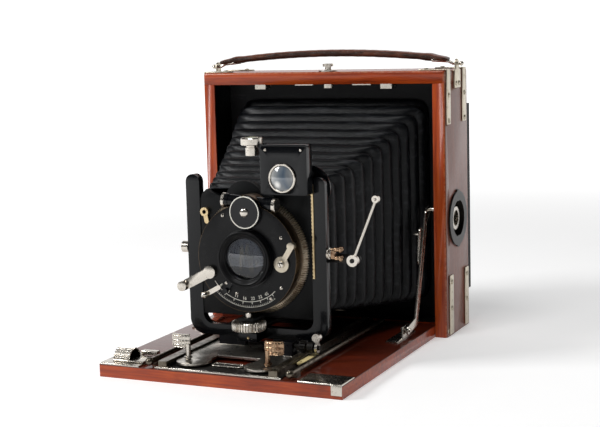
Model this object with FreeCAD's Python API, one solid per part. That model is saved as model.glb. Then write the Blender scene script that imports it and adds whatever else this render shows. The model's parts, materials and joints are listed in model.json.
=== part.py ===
"""A folding hand-and-stand plate camera in polished wood with nickel fittings.

Frame, in millimetres: +X to the right of someone who faces the lens, +Y into the case, +Z up.
The origin is on the underside, below the middle of the case's front edge. The bed is let down
in front of the case (towards -Y), and the lens standard is drawn out on its track.
"""
import FreeCAD, Part
import math
import os

V = FreeCAD.Vector

# ---- driving dimensions: the wooden case and its bed -------------------------------------------
case_width = 160.0
case_height = 160.0
case_depth = 44.0
wall = 7.5
bed_thickness = 7.0
bed_reach = 145.0          # from the case's front face to the bed's front edge
bed_side_gap = 0.25
hinge_rod_radius = 1.5
running_gap = 0.05         # radial gap of every shaft that turns in a hole
board_gap = 0.2            # gap round each board or frame that is set into the case

# ---- the back -----------------------------------------------------------------------------------
plate_width = 120.0        # one plate is 120 x 90
plate_height = 90.0
plate_margin = 2.0
rear_board_thickness = 7.0
back_frame_height = 116.0
back_frame_thickness = 7.0
back_frame_inset = 1.0     # how far it stays inside the case's sides
bellows_frame_y = 22.0
bellows_frame_thickness = 4.0
screen_rail_height = 9.0
screen_rail_depth = 6.0
screen_rail_lip = 1.2
screen_frame_thickness = 3.6
glass_thickness = 1.5
hood_lid_thickness = 1.4
hood_hinge_radius = 1.6
slide_gap = 0.25           # gap between pieces that slide on each other

# ---- the track on the bed -----------------------------------------------------------------------
track_plate_half_width = 37.0
track_plate_thickness = 1.0
track_front_margin = 1.2
track_rear_margin = 8.0
inner_rail_x = 33.0
inner_rail_width = 5.0
inner_rail_height = 3.4
rack_height = 1.2
rack_width = 3.4
rack_pitch = 1.5
outer_rod_x = 41.9
outer_rod_radius = 1.6
outer_rod_lift = 1.6       # from the bed's top to the underside of the rod
pinion_teeth = 14
pinion_shaft_radius = 1.3
focus_knob_radius = 3.0

# ---- the lens standard --------------------------------------------------------------------------
standard_y = -91.0         # middle of the U-shaped frame's thickness
arm_x = 38.5               # middle of each arm
arm_width = 8.6
arm_depth = 5.0
arm_top = 107.0
u_bottom = 15.4
u_bar_height = 6.3
u_corner_radius = 9.0
carriage_thickness = 1.4
carriage_lift = 0.8        # gap between the bed's fittings and the carriage's plate
carriage_rear = -80.0
carriage_bridge_y = -117.0
lobe_x = 20.5
lobe_y = -131.0
lobe_radius = 9.6
rise_wheel_radius = 9.8
rise_wheel_height = 5.0
rise_wheel_y = -104.5
rise_wheel_z = 22.5
rise_screw_radius = 1.6
pinch_post_x = 24.0
pinch_tab_width = 11.0
pinch_tab_height = 7.5
pinch_tab_z = 16.8
pinch_post_radius = 1.5

# ---- the lens board and the shutter -------------------------------------------------------------
board_thickness = 4.0
board_shoulder = 94.5
board_peak = 98.7
dome_x = -6.2
dome_top = 104.0
dome_radius = 12.0
lens_z = 62.5
shutter_radius = 30.0
shutter_depth = 8.5
rim_radius = 33.0
rim_depth = 3.0
barrel_radius = 15.6
barrel_length = 4.6
glass_radius = 11.3
dial_x = 1.1
dial_z = 88.4
dial_radius = 9.35
dial_height = 2.6
dial_boss_radius = 9.4
cylinder_radius = 4.0
cylinder_length = 32.0
cylinder_centre = (1.2, 93.0)
cylinder_tilt = 4.3
lever_thickness = 1.2

# ---- the bellows --------------------------------------------------------------------------------
bellows_side_margin = 10.5  # from the case's inside to the bellows, at the rear
bellows_end_margin = 11.0
bellows_front_half = 31.5
bellows_front_low = 30.0
bellows_front_high = 100.5
bellows_pleats = 13
bellows_fold_depth = 4.0
bellows_skin = 1.0
bellows_end_gap = 0.3

# ---- worked out from the values above -----------------------------------------------------------
half_width = case_width / 2
inner_half = half_width - wall
inner_top = case_height - wall
hinge_y = bed_thickness / 2
hinge_z = bed_thickness / 2
bottom_board_front = bed_thickness + 0.5
bed_half = inner_half - bed_side_gap
bellows_rear_half = inner_half - bellows_side_margin
bellows_rear_low = wall + bellows_end_margin
bellows_rear_high = inner_top - bellows_end_margin
rear_y = case_depth
back_y = case_depth + back_frame_thickness
case_mid_z = case_height / 2
track_z = bed_thickness + track_plate_thickness
rail_top = track_z + inner_rail_height
rack_top = rail_top + rack_height
pinion_pitch_radius = rack_pitch * pinion_teeth / (2 * math.pi)
pinion_z = rack_top - 0.5 * rack_height + pinion_pitch_radius
carriage_z = track_z + carriage_lift
channel_half = inner_rail_x - inner_rail_width / 2 - slide_gap
arm_front = standard_y - arm_depth / 2
arm_rear = standard_y + arm_depth / 2
arm_inner = arm_x - arm_width / 2
arm_outer = arm_x + arm_width / 2
board_half = arm_inner - slide_gap
board_front = arm_front + 0.3
board_rear = board_front + board_thickness
rim_front = board_front - rim_depth
wheel_top = rise_wheel_z + rise_wheel_height
nut_low = wheel_top + 0.2
nut_high = nut_low + 1.6
shutter_front = rim_front - shutter_depth
barrel_front = shutter_front - barrel_length
screen_half = plate_width / 2 + 5.0
screen_high = case_mid_z + plate_height / 2 + 2.5
screen_low = case_mid_z - plate_height / 2 - 2.5


# ---- small helpers ------------------------------------------------------------------------------
def block(x0, x1, y0, y1, z0, z1):
    """A box between two corners."""
    return Part.makeBox(x1 - x0, y1 - y0, z1 - z0, V(x0, y0, z0))


def rod(start, end, radius):
    """A round bar from one point to another."""
    start, end = V(*start), V(*end)
    return Part.makeCylinder(radius, (end - start).Length, start, end - start)


def tube(start, end, outer, inner):
    """A round bar with a hole along it."""
    return rod(start, end, outer).cut(rod(start, end, inner))


def plate_xz(points, y0, y1):
    """A flat outline in X and Z, made thick from y0 to y1."""
    wire = Part.makePolygon([V(x, y0, z) for x, z in points] + [V(points[0][0], y0, points[0][1])])
    return Part.Face(wire).extrude(V(0, y1 - y0, 0))


def plate_yz(points, x0, x1):
    """A flat outline in Y and Z, made thick from x0 to x1."""
    wire = Part.makePolygon([V(x0, y, z) for y, z in points] + [V(x0, points[0][0], points[0][1])])
    return Part.Face(wire).extrude(V(x1 - x0, 0, 0))


def plate_xy(points, z0, z1):
    """A flat outline in X and Y, made thick from z0 to z1."""
    wire = Part.makePolygon([V(x, y, z0) for x, y in points] + [V(points[0][0], points[0][1], z0)])
    return Part.Face(wire).extrude(V(0, 0, z1 - z0))


def round_edges(shape, radius, direction):
    """Rounds every straight edge that runs along a direction."""
    edges = []
    for edge in shape.Edges:
        tangent = edge.tangentAt(edge.FirstParameter)
        if isinstance(edge.Curve, Part.Line) and abs(tangent.dot(V(*direction))) > 0.999:
            edges.append(edge)
    return shape.makeFillet(radius, edges)


def mirrored(shape):
    """The same piece on the camera's other side."""
    return shape.mirror(V(0, 0, 0), V(1, 0, 0))


def bar_between(a, b, width, y0, y1):
    """A flat link between two points in X and Z, with round ends."""
    (ax, az), (bx, bz) = a, b
    length = math.hypot(bx - ax, bz - az)
    nx, nz = -(bz - az) / length * width / 2, (bx - ax) / length * width / 2
    corners = [(ax + nx, az + nz), (bx + nx, bz + nz), (bx - nx, bz - nz), (ax - nx, az - nz)]
    middle = plate_xz(corners, y0, y1)
    for x, z in (a, b):
        middle = middle.fuse(rod((x, y0, z), (x, y1, z), width / 2))
    return middle.removeSplitter()


def group(shapes):
    """Several separate solids that share one node."""
    return Part.makeCompound(shapes)


parts = {}

# ---- the wooden case ----------------------------------------------------------------------------
dish_y = 21.0
dish_z = 70.0
dish_radius = 13.0
button_x = 2.8
button_y = 8.0
button_radius = 3.4
button_height = 4.0
button_travel = 2.0
bush_radius = 7.0
bush_bore = 4.7625         # the 3/8 inch stand screw
bottom_bush_y = 26.0


def case_boards():
    """Four boards: the top one covers the ends of the side ones, the bottom one fits between."""
    hinge_hole = rod((-half_width, hinge_y, hinge_z), (half_width, hinge_y, hinge_z), hinge_rod_radius)
    left = block(-half_width, -inner_half, 0, case_depth, 0, inner_top).cut(hinge_hole)
    right = block(inner_half, half_width, 0, case_depth, 0, inner_top).cut(hinge_hole)
    dish_hole = rod((inner_half, dish_y, dish_z), (half_width, dish_y, dish_z), dish_radius)
    top = block(-half_width, half_width, 0, case_depth, inner_top, case_height)
    button_hole = rod((button_x, button_y, inner_top), (button_x, button_y, case_height),
                      button_radius + 1.5)
    bottom = block(-inner_half, inner_half, bottom_board_front, case_depth, 0, wall)
    bush_hole = rod((0, bottom_bush_y, 0), (0, bottom_bush_y, wall), bush_radius)
    return {
        "case_left": left,
        "case_right": right.cut(dish_hole),
        "case_top": top.cut(button_hole),
        "case_bottom": bottom.cut(bush_hole),
    }


parts.update(case_boards())


def framed_opening(half, low, high, y0, y1, hole_half, hole_low, hole_high):
    """A rectangular board with a rectangular opening."""
    board = block(-half, half, y0, y1, low, high)
    return board.cut(block(-hole_half, hole_half, y0 - 1, y1 + 1, hole_low, hole_high))


hole_half = plate_width / 2 + plate_margin
hole_low = case_mid_z - plate_height / 2 - plate_margin
hole_high = case_mid_z + plate_height / 2 + plate_margin
set_in_half = inner_half - board_gap
bellows_lap = bellows_fold_depth + bellows_skin
parts["bellows_rear_frame"] = framed_opening(
    set_in_half, wall + board_gap, inner_top - board_gap,
    bellows_frame_y, bellows_frame_y + bellows_frame_thickness,
    bellows_rear_half - bellows_lap, bellows_rear_low + bellows_lap, bellows_rear_high - bellows_lap)
parts["rear_board"] = framed_opening(
    set_in_half, wall + board_gap, inner_top - board_gap,
    rear_y - rear_board_thickness, rear_y, hole_half, hole_low, hole_high)

# ---- the reversible back, its rails, the focusing screen and its hood ----------------------------
back_half = half_width - back_frame_inset
parts["back_frame"] = framed_opening(
    back_half, case_mid_z - back_frame_height / 2, case_mid_z + back_frame_height / 2,
    rear_y, back_y, hole_half, hole_low, hole_high)


def back_rails():
    """Two channels that hold the focusing screen and let it slide out to the right."""
    rails = []
    for side in (-1, 1):
        edge = screen_low if side < 0 else screen_high
        inner, outer = edge + side * slide_gap, edge + side * screen_rail_height
        lip = edge - side * 2.0
        low, high = min(inner, outer), max(inner, outer)
        body = block(-screen_half, screen_half, back_y, back_y + screen_rail_depth, low, high)
        lip_low, lip_high = min(lip, outer), max(lip, outer)
        cap = block(-screen_half, screen_half, back_y + screen_rail_depth - screen_rail_lip,
                    back_y + screen_rail_depth, lip_low, lip_high)
        rails.append(body.fuse(cap).removeSplitter())
    return group(rails)


parts["back_rails"] = back_rails()
screen_y = back_y + slide_gap
parts["screen_frame"] = framed_opening(
    screen_half, screen_low, screen_high, screen_y, screen_y + screen_frame_thickness,
    plate_width / 2 - 2.5, screen_low + 5.0, screen_high - 5.0).cut(
    block(-plate_width / 2 - board_gap, plate_width / 2 + board_gap, screen_y - 1,
          screen_y + glass_thickness,
          case_mid_z - plate_height / 2 - board_gap, case_mid_z + plate_height / 2 + board_gap))
parts["ground_glass"] = block(
    -plate_width / 2, plate_width / 2, screen_y, screen_y + glass_thickness,
    case_mid_z - plate_height / 2, case_mid_z + plate_height / 2)

lid_y = back_y + screen_rail_depth + 2 * slide_gap
lid_half = screen_half - 4.0
lid_high = screen_high - 4.5
hood_axis_y = screen_y + screen_frame_thickness + hood_hinge_radius + 0.2
hood_axis_z = screen_low + 4.6


def hood_lid():
    """The folding hood's lid, with its hinge barrel along the bottom and a thumb tab on top."""
    cover = block(-lid_half, lid_half, lid_y, lid_y + hood_lid_thickness, hood_axis_z, lid_high)
    barrel = rod((-lid_half, hood_axis_y, hood_axis_z), (lid_half, hood_axis_y, hood_axis_z),
                 hood_hinge_radius)
    skirt = block(-lid_half, lid_half, hood_axis_y, lid_y + hood_lid_thickness,
                  hood_axis_z, hood_axis_z + hood_hinge_radius)
    tab = block(-6, 6, lid_y, lid_y + hood_lid_thickness, lid_high - 1, lid_high + 3)
    return cover.fuse([barrel, skirt, tab]).removeSplitter()


parts["hood_lid"] = hood_lid()

# ---- nickel fittings on the case ----------------------------------------------------------------
strap_thickness = 0.8
strap_width = 7.0
strap_side_top = 32.0      # how far a top strap comes down the side
strap_over_top = 17.0
strap_side_bottom = 37.0
strap_front_y = 6.0
strap_rear_y = 36.0
screw_head_radius = 1.5
screw_head_height = 0.7


def corner_straps():
    """Straps that hold the boards together: over each top edge, and up from each bottom edge."""
    straps = []
    for y in (strap_front_y, strap_rear_y):
        y0, y1 = y - strap_width / 2, y + strap_width / 2
        side = block(half_width, half_width + strap_thickness, y0, y1,
                     case_height - strap_side_top, case_height + strap_thickness)
        over = block(half_width - strap_over_top, half_width + strap_thickness, y0, y1,
                     case_height, case_height + strap_thickness)
        low = block(half_width, half_width + strap_thickness, y0 + 2.0, y1 + 2.0, 1.0,
                    strap_side_bottom)
        over_strap = side.fuse(over).removeSplitter()
        straps += [over_strap, mirrored(over_strap), low, mirrored(low)]
    return group(straps)


parts["corner_straps"] = corner_straps()

lug_y = 22.0
lug_thickness = 1.2
lug_half = 5.5
lug_low = case_height - 11.0
eye_z = case_height + 3.4
eye_radius = 2.8
wire_radius = 0.9
wire_gap = 0.08


def case_screws():
    """Domed heads on the straps, on the handle's lugs and on the round side fitting."""
    face = half_width + strap_thickness
    places = []
    for y in (strap_front_y, strap_rear_y):
        for z in (case_height - 14.6, case_height - 29.8):
            places.append((y, z, face))
        for z in (strap_side_bottom - 4.0, 17.0):
            places.append((y + 2.0, z, face))
    for dy in (-2.6, 2.6):
        places.append((lug_y + dy, case_height - 8.3, half_width + lug_thickness))
    heads = []
    for y, z, x in places:
        head = rod((x, y, z), (x + screw_head_height, y, z), screw_head_radius)
        heads += [head, mirrored(head)]
    for y in (strap_front_y, strap_rear_y):
        x, z = half_width - strap_over_top + 4.0, case_height + strap_thickness
        head = rod((x, y, z), (x, y, z + screw_head_height), screw_head_radius)
        heads += [head, mirrored(head)]
    return group(heads)


parts["case_screws"] = case_screws()


def handle_lugs():
    """Two plates on the sides. Each has an eye above the case's top for the handle's wire."""
    plate = block(half_width, half_width + lug_thickness, lug_y - lug_half, lug_y + lug_half,
                  lug_low, case_height)
    neck = block(half_width, half_width + lug_thickness, lug_y - eye_radius, lug_y + eye_radius,
                 case_height, eye_z)
    eye = rod((half_width, lug_y, eye_z), (half_width + lug_thickness, lug_y, eye_z), eye_radius)
    hole = rod((half_width, lug_y, eye_z), (half_width + lug_thickness, lug_y, eye_z),
               wire_radius + wire_gap)
    lug = plate.fuse([neck, eye]).removeSplitter().cut(hole)
    return group([lug, mirrored(lug)])


parts["handle_lugs"] = handle_lugs()

# ---- the leather handle -------------------------------------------------------------------------
strap_end_x = 66.0
strap_end_z = case_height + 5.6
strap_rise = 5.4
handle_width = 12.0
handle_thickness = 4.0


def handle_strap():
    """A flat leather strap that arches over the top, cut from a ring with a large radius."""
    radius = (strap_end_x ** 2 + strap_rise ** 2) / (2 * strap_rise)
    centre_z = strap_end_z + strap_rise - radius
    outer = rod((0, lug_y - handle_width / 2, centre_z), (0, lug_y + handle_width / 2, centre_z),
                radius + handle_thickness / 2)
    inner = rod((0, lug_y - handle_width / 2, centre_z), (0, lug_y + handle_width / 2, centre_z),
                radius - handle_thickness / 2)
    keep = block(-strap_end_x, strap_end_x, lug_y - handle_width, lug_y + handle_width,
                 case_height, case_height + 60)
    return outer.cut(inner).common(keep)


def handle_wires():
    """A bent wire at each end: through the lug's eye, up to the strap and across its width."""
    bar_half = handle_width / 2 - 1.0
    wires = []
    start = (half_width + lug_thickness + 2.4, lug_y, eye_z)
    inner_end = (half_width - 1.6, lug_y, eye_z)
    fork = (half_width - 4.6, lug_y, eye_z + 1.4)
    pieces = [rod(inner_end, start, wire_radius), rod(inner_end, fork, wire_radius)]
    for side in (-1, 1):
        corner = (strap_end_x + wire_radius + 0.3, lug_y + side * bar_half, strap_end_z)
        pieces.append(rod(fork, corner, wire_radius))
        pieces.append(Part.makeSphere(wire_radius, V(*corner)))
    pieces.append(rod((strap_end_x + wire_radius + 0.3, lug_y - bar_half, strap_end_z),
                      (strap_end_x + wire_radius + 0.3, lug_y + bar_half, strap_end_z), wire_radius))
    pieces += [Part.makeSphere(wire_radius, V(*point)) for point in (inner_end, fork)]
    pieces.append(Part.makeSphere(wire_radius * 1.6, V(*start)))
    wire = pieces[0].fuse(pieces[1:]).removeSplitter()
    wires += [wire, mirrored(wire)]
    return group(wires)


parts["handle_strap"] = handle_strap()
parts["handle_wires"] = handle_wires()

# ---- the bed's release button and the catches inside the top -------------------------------------


def button_parts():
    """A sprung button in a bush. Its stem ends in a collar below the bush, which stops it."""
    bush_outer = button_radius + 1.5
    stem = 2.0
    bush = tube((button_x, button_y, inner_top), (button_x, button_y, case_height + 0.8),
                bush_outer, stem + running_gap)
    flange = tube((button_x, button_y, case_height), (button_x, button_y, case_height + 0.8),
                  bush_outer + 1.0, stem + running_gap)
    under = case_height + 0.8 + button_travel + 0.2
    top = case_height + 0.8 + button_height
    cap = rod((button_x, button_y, under), (button_x, button_y, top), button_radius)
    shank = rod((button_x, button_y, inner_top - 2.6), (button_x, button_y, under), stem)
    collar = rod((button_x, button_y, inner_top - 2.6), (button_x, button_y, inner_top - 0.1),
                 stem + 1.2)
    return bush.fuse(flange).removeSplitter(), cap.fuse([shank, collar]).removeSplitter()


button_bush, parts["release_button"] = button_parts()


def bed_lock_fittings():
    """The button's bush, and the two strike blocks and two sprung strips that hold the shut bed."""
    pieces = [button_bush]
    for x in (-42.0, 42.0):
        pieces.append(block(x - 3.6, x + 3.6, 4.0, 12.0, inner_top - 3.0, inner_top))
    for x in (-12.0, 26.2):
        pieces.append(block(x - 6.0, x + 6.0, 4.0, 12.0, inner_top - 0.8, inner_top))
    return group(pieces)


parts["bed_lock_fittings"] = bed_lock_fittings()

# ---- the tripod sockets -------------------------------------------------------------------------
flange_thickness = 1.2
flange_radius = 16.5


def tripod_fittings():
    """A black dish let into the right side, a nickel three-armed plate in it, and two threaded bushes."""
    lip = rod((half_width, dish_y, dish_z), (half_width + flange_thickness, dish_y, dish_z),
              flange_radius)
    cup = rod((inner_half, dish_y, dish_z), (half_width, dish_y, dish_z), dish_radius)
    recess = rod((inner_half + 3.0, dish_y, dish_z), (half_width + flange_thickness, dish_y, dish_z),
                 11.0)
    through = rod((inner_half, dish_y, dish_z), (half_width, dish_y, dish_z), bush_radius)
    dish = lip.fuse(cup).removeSplitter().cut(recess).cut(through)
    for side in (-1, 1):
        ear = rod((half_width, dish_y, dish_z + side * 14.0),
                  (half_width + flange_thickness, dish_y, dish_z + side * 14.0), 3.6)
        dish = dish.fuse(ear)
    dish = dish.removeSplitter()
    seat = inner_half + 3.0
    star = rod((seat, dish_y, dish_z), (seat + 1.2, dish_y, dish_z), bush_radius + 1.6)
    for turn in (90, 210, 330):
        angle = math.radians(turn)
        arm_y = dish_y + 8.6 * math.cos(angle)
        arm_z = dish_z + 8.6 * math.sin(angle)
        star = star.fuse(rod((seat, arm_y, arm_z), (seat + 1.2, arm_y, arm_z), 2.2))
    star = star.removeSplitter().cut(
        rod((seat, dish_y, dish_z), (seat + 1.2, dish_y, dish_z), bush_radius))
    side_bush = tube((inner_half, dish_y, dish_z), (half_width - 0.6, dish_y, dish_z), bush_radius,
                     bush_bore)
    bottom_bush = tube((0, bottom_bush_y, 0), (0, bottom_bush_y, wall), bush_radius, bush_bore)
    return dish, group([star, side_bush, bottom_bush])


parts["tripod_dish"], parts["tripod_bushes"] = tripod_fittings()

# ---- the bed ------------------------------------------------------------------------------------
catch_x = -(bed_half - 11.25)
catch_y = -134.0
catch_half = 5.2


def bed_board():
    """A board whose rear edge is rounded about the hinge rod that carries it."""
    flat = block(-bed_half, bed_half, -bed_reach, hinge_y, 0, bed_thickness)
    round_edge = rod((-bed_half, hinge_y, hinge_z), (bed_half, hinge_y, hinge_z), bed_thickness / 2)
    hole = rod((-bed_half, hinge_y, hinge_z), (bed_half, hinge_y, hinge_z), hinge_rod_radius)
    return flat.fuse(round_edge).removeSplitter().cut(hole)


parts["bed_board"] = bed_board()
parts["hinge_rod"] = rod((-half_width, hinge_y, hinge_z), (half_width, hinge_y, hinge_z),
                         hinge_rod_radius)

plate_thickness = 0.9


def bed_corner_plates():
    """Nickel plates on the bed's front corners; the right one has a lip down the front edge."""
    plates = []
    for side in (-1, 1):
        inner, outer = side * (bed_half - 25.0), side * bed_half
        low, high = min(inner, outer), max(inner, outer)
        flat = block(low, high, -bed_reach, -bed_reach + 17.0, bed_thickness,
                     bed_thickness + plate_thickness)
        outer_low = min(outer - side * 6.0, outer)
        lip = block(outer_low, outer_low + 6.0, -bed_reach - plate_thickness, -bed_reach,
                    2.0, bed_thickness + plate_thickness)
        plates.append(flat.fuse(lip).removeSplitter() if side > 0 else flat)
    return group(plates)


parts["bed_corner_plates"] = bed_corner_plates()


def bed_catch():
    """A ridged, sprung thumb arch on the left corner plate, with a bar that ends in a hook."""
    base_z = bed_thickness + plate_thickness + 0.4
    outer = rod((catch_x - catch_half, catch_y, base_z), (catch_x + catch_half, catch_y, base_z), 6.6)
    inner = rod((catch_x - catch_half, catch_y, base_z), (catch_x + catch_half, catch_y, base_z), 5.6)
    upper = block(catch_x - catch_half, catch_x + catch_half, catch_y - 7, catch_y + 7, base_z,
                  base_z + 10)
    arch = outer.cut(inner).common(upper)
    foot = block(catch_x - catch_half, catch_x + catch_half, catch_y + 5.6, catch_y + 12.0, base_z,
                 base_z + 1.0)
    bar = block(catch_x + catch_half - 1.5, catch_x + catch_half + 9.0, catch_y + 8.0, catch_y + 12.0,
                base_z, base_z + 2.0)
    return arch.fuse([foot, bar]).removeSplitter()


parts["bed_catch"] = bed_catch()

# ---- the track ----------------------------------------------------------------------------------
track_front = -bed_reach + track_front_margin
track_rear = -track_rear_margin
window_half = 24.0
window_front = track_front + 17.0
window_rear = track_rear - 12.0


def track_plate():
    """The black plate under the rails, open in the middle, with a raised stop loop in front."""
    plate = block(-track_plate_half_width, track_plate_half_width, track_front, track_rear,
                  bed_thickness, track_z)
    window = block(-window_half, window_half, window_front, window_rear, bed_thickness - 1, track_z + 1)
    plate = plate.cut(round_edges(window, 4.0, (0, 0, 1)))
    loop = block(-9.0, 9.0, window_front - 6.4, window_front - 1.4, track_z - 0.4, track_z + 0.5)
    hollow = block(-7.6, 7.6, window_front - 5.0, window_front - 2.8, track_z - 1, track_z + 1)
    loop = round_edges(loop, 2.2, (0, 0, 1)).cut(round_edges(hollow, 1.0, (0, 0, 1)))
    return plate.fuse(loop).removeSplitter()


parts["track_plate"] = track_plate()


def track_rails():
    """Two inner rails on the plate, and two round outer rods on saddles with ball ends."""
    pieces = []
    for side in (-1, 1):
        x = side * inner_rail_x
        pieces.append(block(x - inner_rail_width / 2, x + inner_rail_width / 2, track_front, track_rear,
                            track_z, rail_top))
        rx = side * outer_rod_x
        rz = bed_thickness + outer_rod_lift + outer_rod_radius
        bar = rod((rx, track_front + 2.4, rz), (rx, track_rear, rz), outer_rod_radius)
        ball = Part.makeSphere(2.3, V(rx, track_front + 1.8, rz))
        saddles = [block(rx - 1.6, rx + 1.6, y - 2.5, y + 2.5, bed_thickness, rz)
                   for y in (track_front + 9.0, track_rear - 6.0)]
        pieces.append(bar.fuse([ball] + saddles).removeSplitter())
    return group(pieces + [rack()])


def rack():
    """A toothed strip on the right inner rail. Each tooth is a flat-topped wedge."""
    low_x = inner_rail_x - rack_width / 2
    first, last = track_front + 3.0, track_rear - 3.0
    count = int((last - first) / rack_pitch)
    root = rail_top + 0.25 * rack_height
    points = [(first, rail_top)]
    for tooth in range(count):
        y = first + tooth * rack_pitch
        points += [(y, root), (y + 0.12 * rack_pitch, rack_top), (y + 0.34 * rack_pitch, rack_top),
                   (y + 0.46 * rack_pitch, root)]
    points += [(last, root), (last, rail_top)]
    return plate_yz(points, low_x, low_x + rack_width)


parts["track_rails"] = track_rails()

# ---- the struts that hold the bed square to the case ---------------------------------------------
strut_x = inner_half - 4.1
strut_thickness = 1.2
strut_width = 5.0
strut_foot = (-36.0, 12.0)
strut_knee = (-23.0, 14.5)
strut_head = (-2.0, 75.0)
latch_pivot = (-11.5, 49.0)
bracket_pivot_radius = 1.1


def strap_between(a, b, width, x0, x1):
    """A flat link between two points in Y and Z, with round ends."""
    (ay, az), (by, bz) = a, b
    length = math.hypot(by - ay, bz - az)
    ny, nz = -(bz - az) / length * width / 2, (by - ay) / length * width / 2
    corners = [(ay + ny, az + nz), (by + ny, bz + nz), (by - ny, bz - nz), (ay - ny, az - nz)]
    middle = plate_yz(corners, x0, x1)
    for y, z in (a, b):
        middle = middle.fuse(rod((x0, y, z), (x1, y, z), width / 2))
    return middle.removeSplitter()


def struts():
    """On each side: a bracket on the bed, a bent and slotted strap, and the rivets at its ends."""
    x0, x1 = strut_x - strut_thickness / 2, strut_x + strut_thickness / 2
    lower = strap_between(strut_foot, strut_knee, strut_width, x0, x1)
    upper = strap_between(strut_knee, strut_head, strut_width, x0, x1)
    along = V(0, strut_head[0] - strut_knee[0], strut_head[1] - strut_knee[1])
    slot = strap_between(
        (strut_knee[0] + 0.42 * along.y, strut_knee[1] + 0.42 * along.z),
        (strut_knee[0] + 0.90 * along.y, strut_knee[1] + 0.90 * along.z), 1.9, x0 - 1, x1 + 1)
    strap = lower.fuse(upper).removeSplitter().cut(slot)
    base = block(strut_x - 9.0, strut_x - 1.6, strut_foot[0] - 14.0, strut_foot[0] + 17.0,
                 bed_thickness, bed_thickness + 1.0)
    ear = block(strut_x - 2.8, strut_x - 1.6, strut_foot[0] - 5.0, strut_foot[0] + 5.0,
                bed_thickness, strut_foot[1] + 2.6)
    bracket = base.fuse(ear).removeSplitter()
    foot_rivet = rod((strut_x - 4.0, strut_foot[0], strut_foot[1]),
                     (strut_x + 1.6, strut_foot[0], strut_foot[1]),
                     bracket_pivot_radius)
    head_rivet = rod((strut_x - 1.6, strut_head[0] + 4.6, strut_head[1] + 2.4),
                     (inner_half, strut_head[0] + 4.6, strut_head[1] + 2.4), bracket_pivot_radius)
    top_link = strap_between(strut_head, (strut_head[0] + 4.6, strut_head[1] + 2.4), strut_width, x0,
                             x1)
    strap = strap.fuse(top_link).removeSplitter().cut(head_rivet).cut(foot_rivet)
    bracket = bracket.cut(foot_rivet)
    pieces = []
    for piece in (strap, bracket, foot_rivet, head_rivet):
        pieces += [piece, mirrored(piece)]
    return group(pieces)


parts["struts"] = struts()


def strut_latch():
    """A thumb latch that lies against the strut's inner face and turns on a rivet."""
    x1 = strut_x - strut_thickness / 2 - 0.15
    x0 = x1 - 1.1
    tongue = strap_between(latch_pivot, (latch_pivot[0] + 2.6, latch_pivot[1] + 16.0), 6.0, x0, x1)
    lip = block(x0 - 3.0, x0 + 0.3, latch_pivot[0] - 1.2, latch_pivot[0] + 6.6,
                latch_pivot[1] + 15.0, latch_pivot[1] + 16.2)
    return tongue.fuse(lip).removeSplitter()


parts["strut_latch_right"] = strut_latch()
parts["strut_latch_left"] = mirrored(strut_latch())

# ---- the focusing scale -------------------------------------------------------------------------
scale_x = 37.9


def focus_scale():
    """An ivory-coloured distance scale beside the track, on a low foot, with a screw hole."""
    foot = block(scale_x - 0.7, scale_x + 1.4, -116.0, -103.0, bed_thickness, bed_thickness + 2.6)
    tongue = plate_xy([(scale_x - 1.9, -122.0), (scale_x + 1.9, -122.0), (scale_x + 1.9, -99.0),
                       (scale_x - 1.9, -99.0)], bed_thickness + 2.6, bed_thickness + 3.8)
    tongue = round_edges(tongue, 1.8, (0, 0, 1))
    hole = rod((scale_x, -118.5, bed_thickness + 2), (scale_x, -118.5, bed_thickness + 4), 1.0)
    return foot.fuse(tongue).removeSplitter().cut(hole)


parts["focus_scale"] = focus_scale()

# ---- the carriage and the U-shaped standard ------------------------------------------------------
shaft_x0 = 22.0
knob_x0 = inner_rail_x + inner_rail_width / 2 + 0.5
knob_x1 = knob_x0 + 3.4
lock_x0 = knob_x1 + 1.0
pinion_y = -104.6
plate_top = carriage_z + carriage_thickness
post_hole = pinch_post_radius + running_gap


def carriage():
    """The sliding plate between the rails: two lobes in front joined by a bridge, and two stands."""
    plate = block(-channel_half, channel_half, carriage_bridge_y, carriage_rear, carriage_z, plate_top)
    lobes = [rod((side * lobe_x, lobe_y, carriage_z), (side * lobe_x, lobe_y, plate_top), lobe_radius)
             for side in (-1, 1)]
    necks = [block(side * lobe_x - 7.5, side * lobe_x + 7.5, lobe_y, carriage_bridge_y + 1.0,
                   carriage_z, plate_top)
             for side in (-1, 1)]
    bearing = block(shaft_x0, shaft_x0 + 5.5, pinion_y - 3.2, pinion_y + 3.2, plate_top, pinion_z + 2.6)
    stands = [block(side * 17.0 - 8.0, side * 17.0 + 8.0, arm_front + 0.4, arm_rear - 0.4,
                    plate_top, u_bottom)
              for side in (-1, 1)]
    plate = plate.fuse(lobes + necks + [bearing] + stands).removeSplitter()
    plate = plate.cut(rod((shaft_x0 - 1, pinion_y, pinion_z), (shaft_x0 + 8, pinion_y, pinion_z),
                          pinion_shaft_radius + running_gap))
    for side in (-1, 1):
        plate = plate.cut(rod((side * pinch_post_x, lobe_y, carriage_z - 5),
                              (side * pinch_post_x, lobe_y, plate_top + 1), post_hole))
    return plate


parts["carriage"] = carriage()


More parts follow.
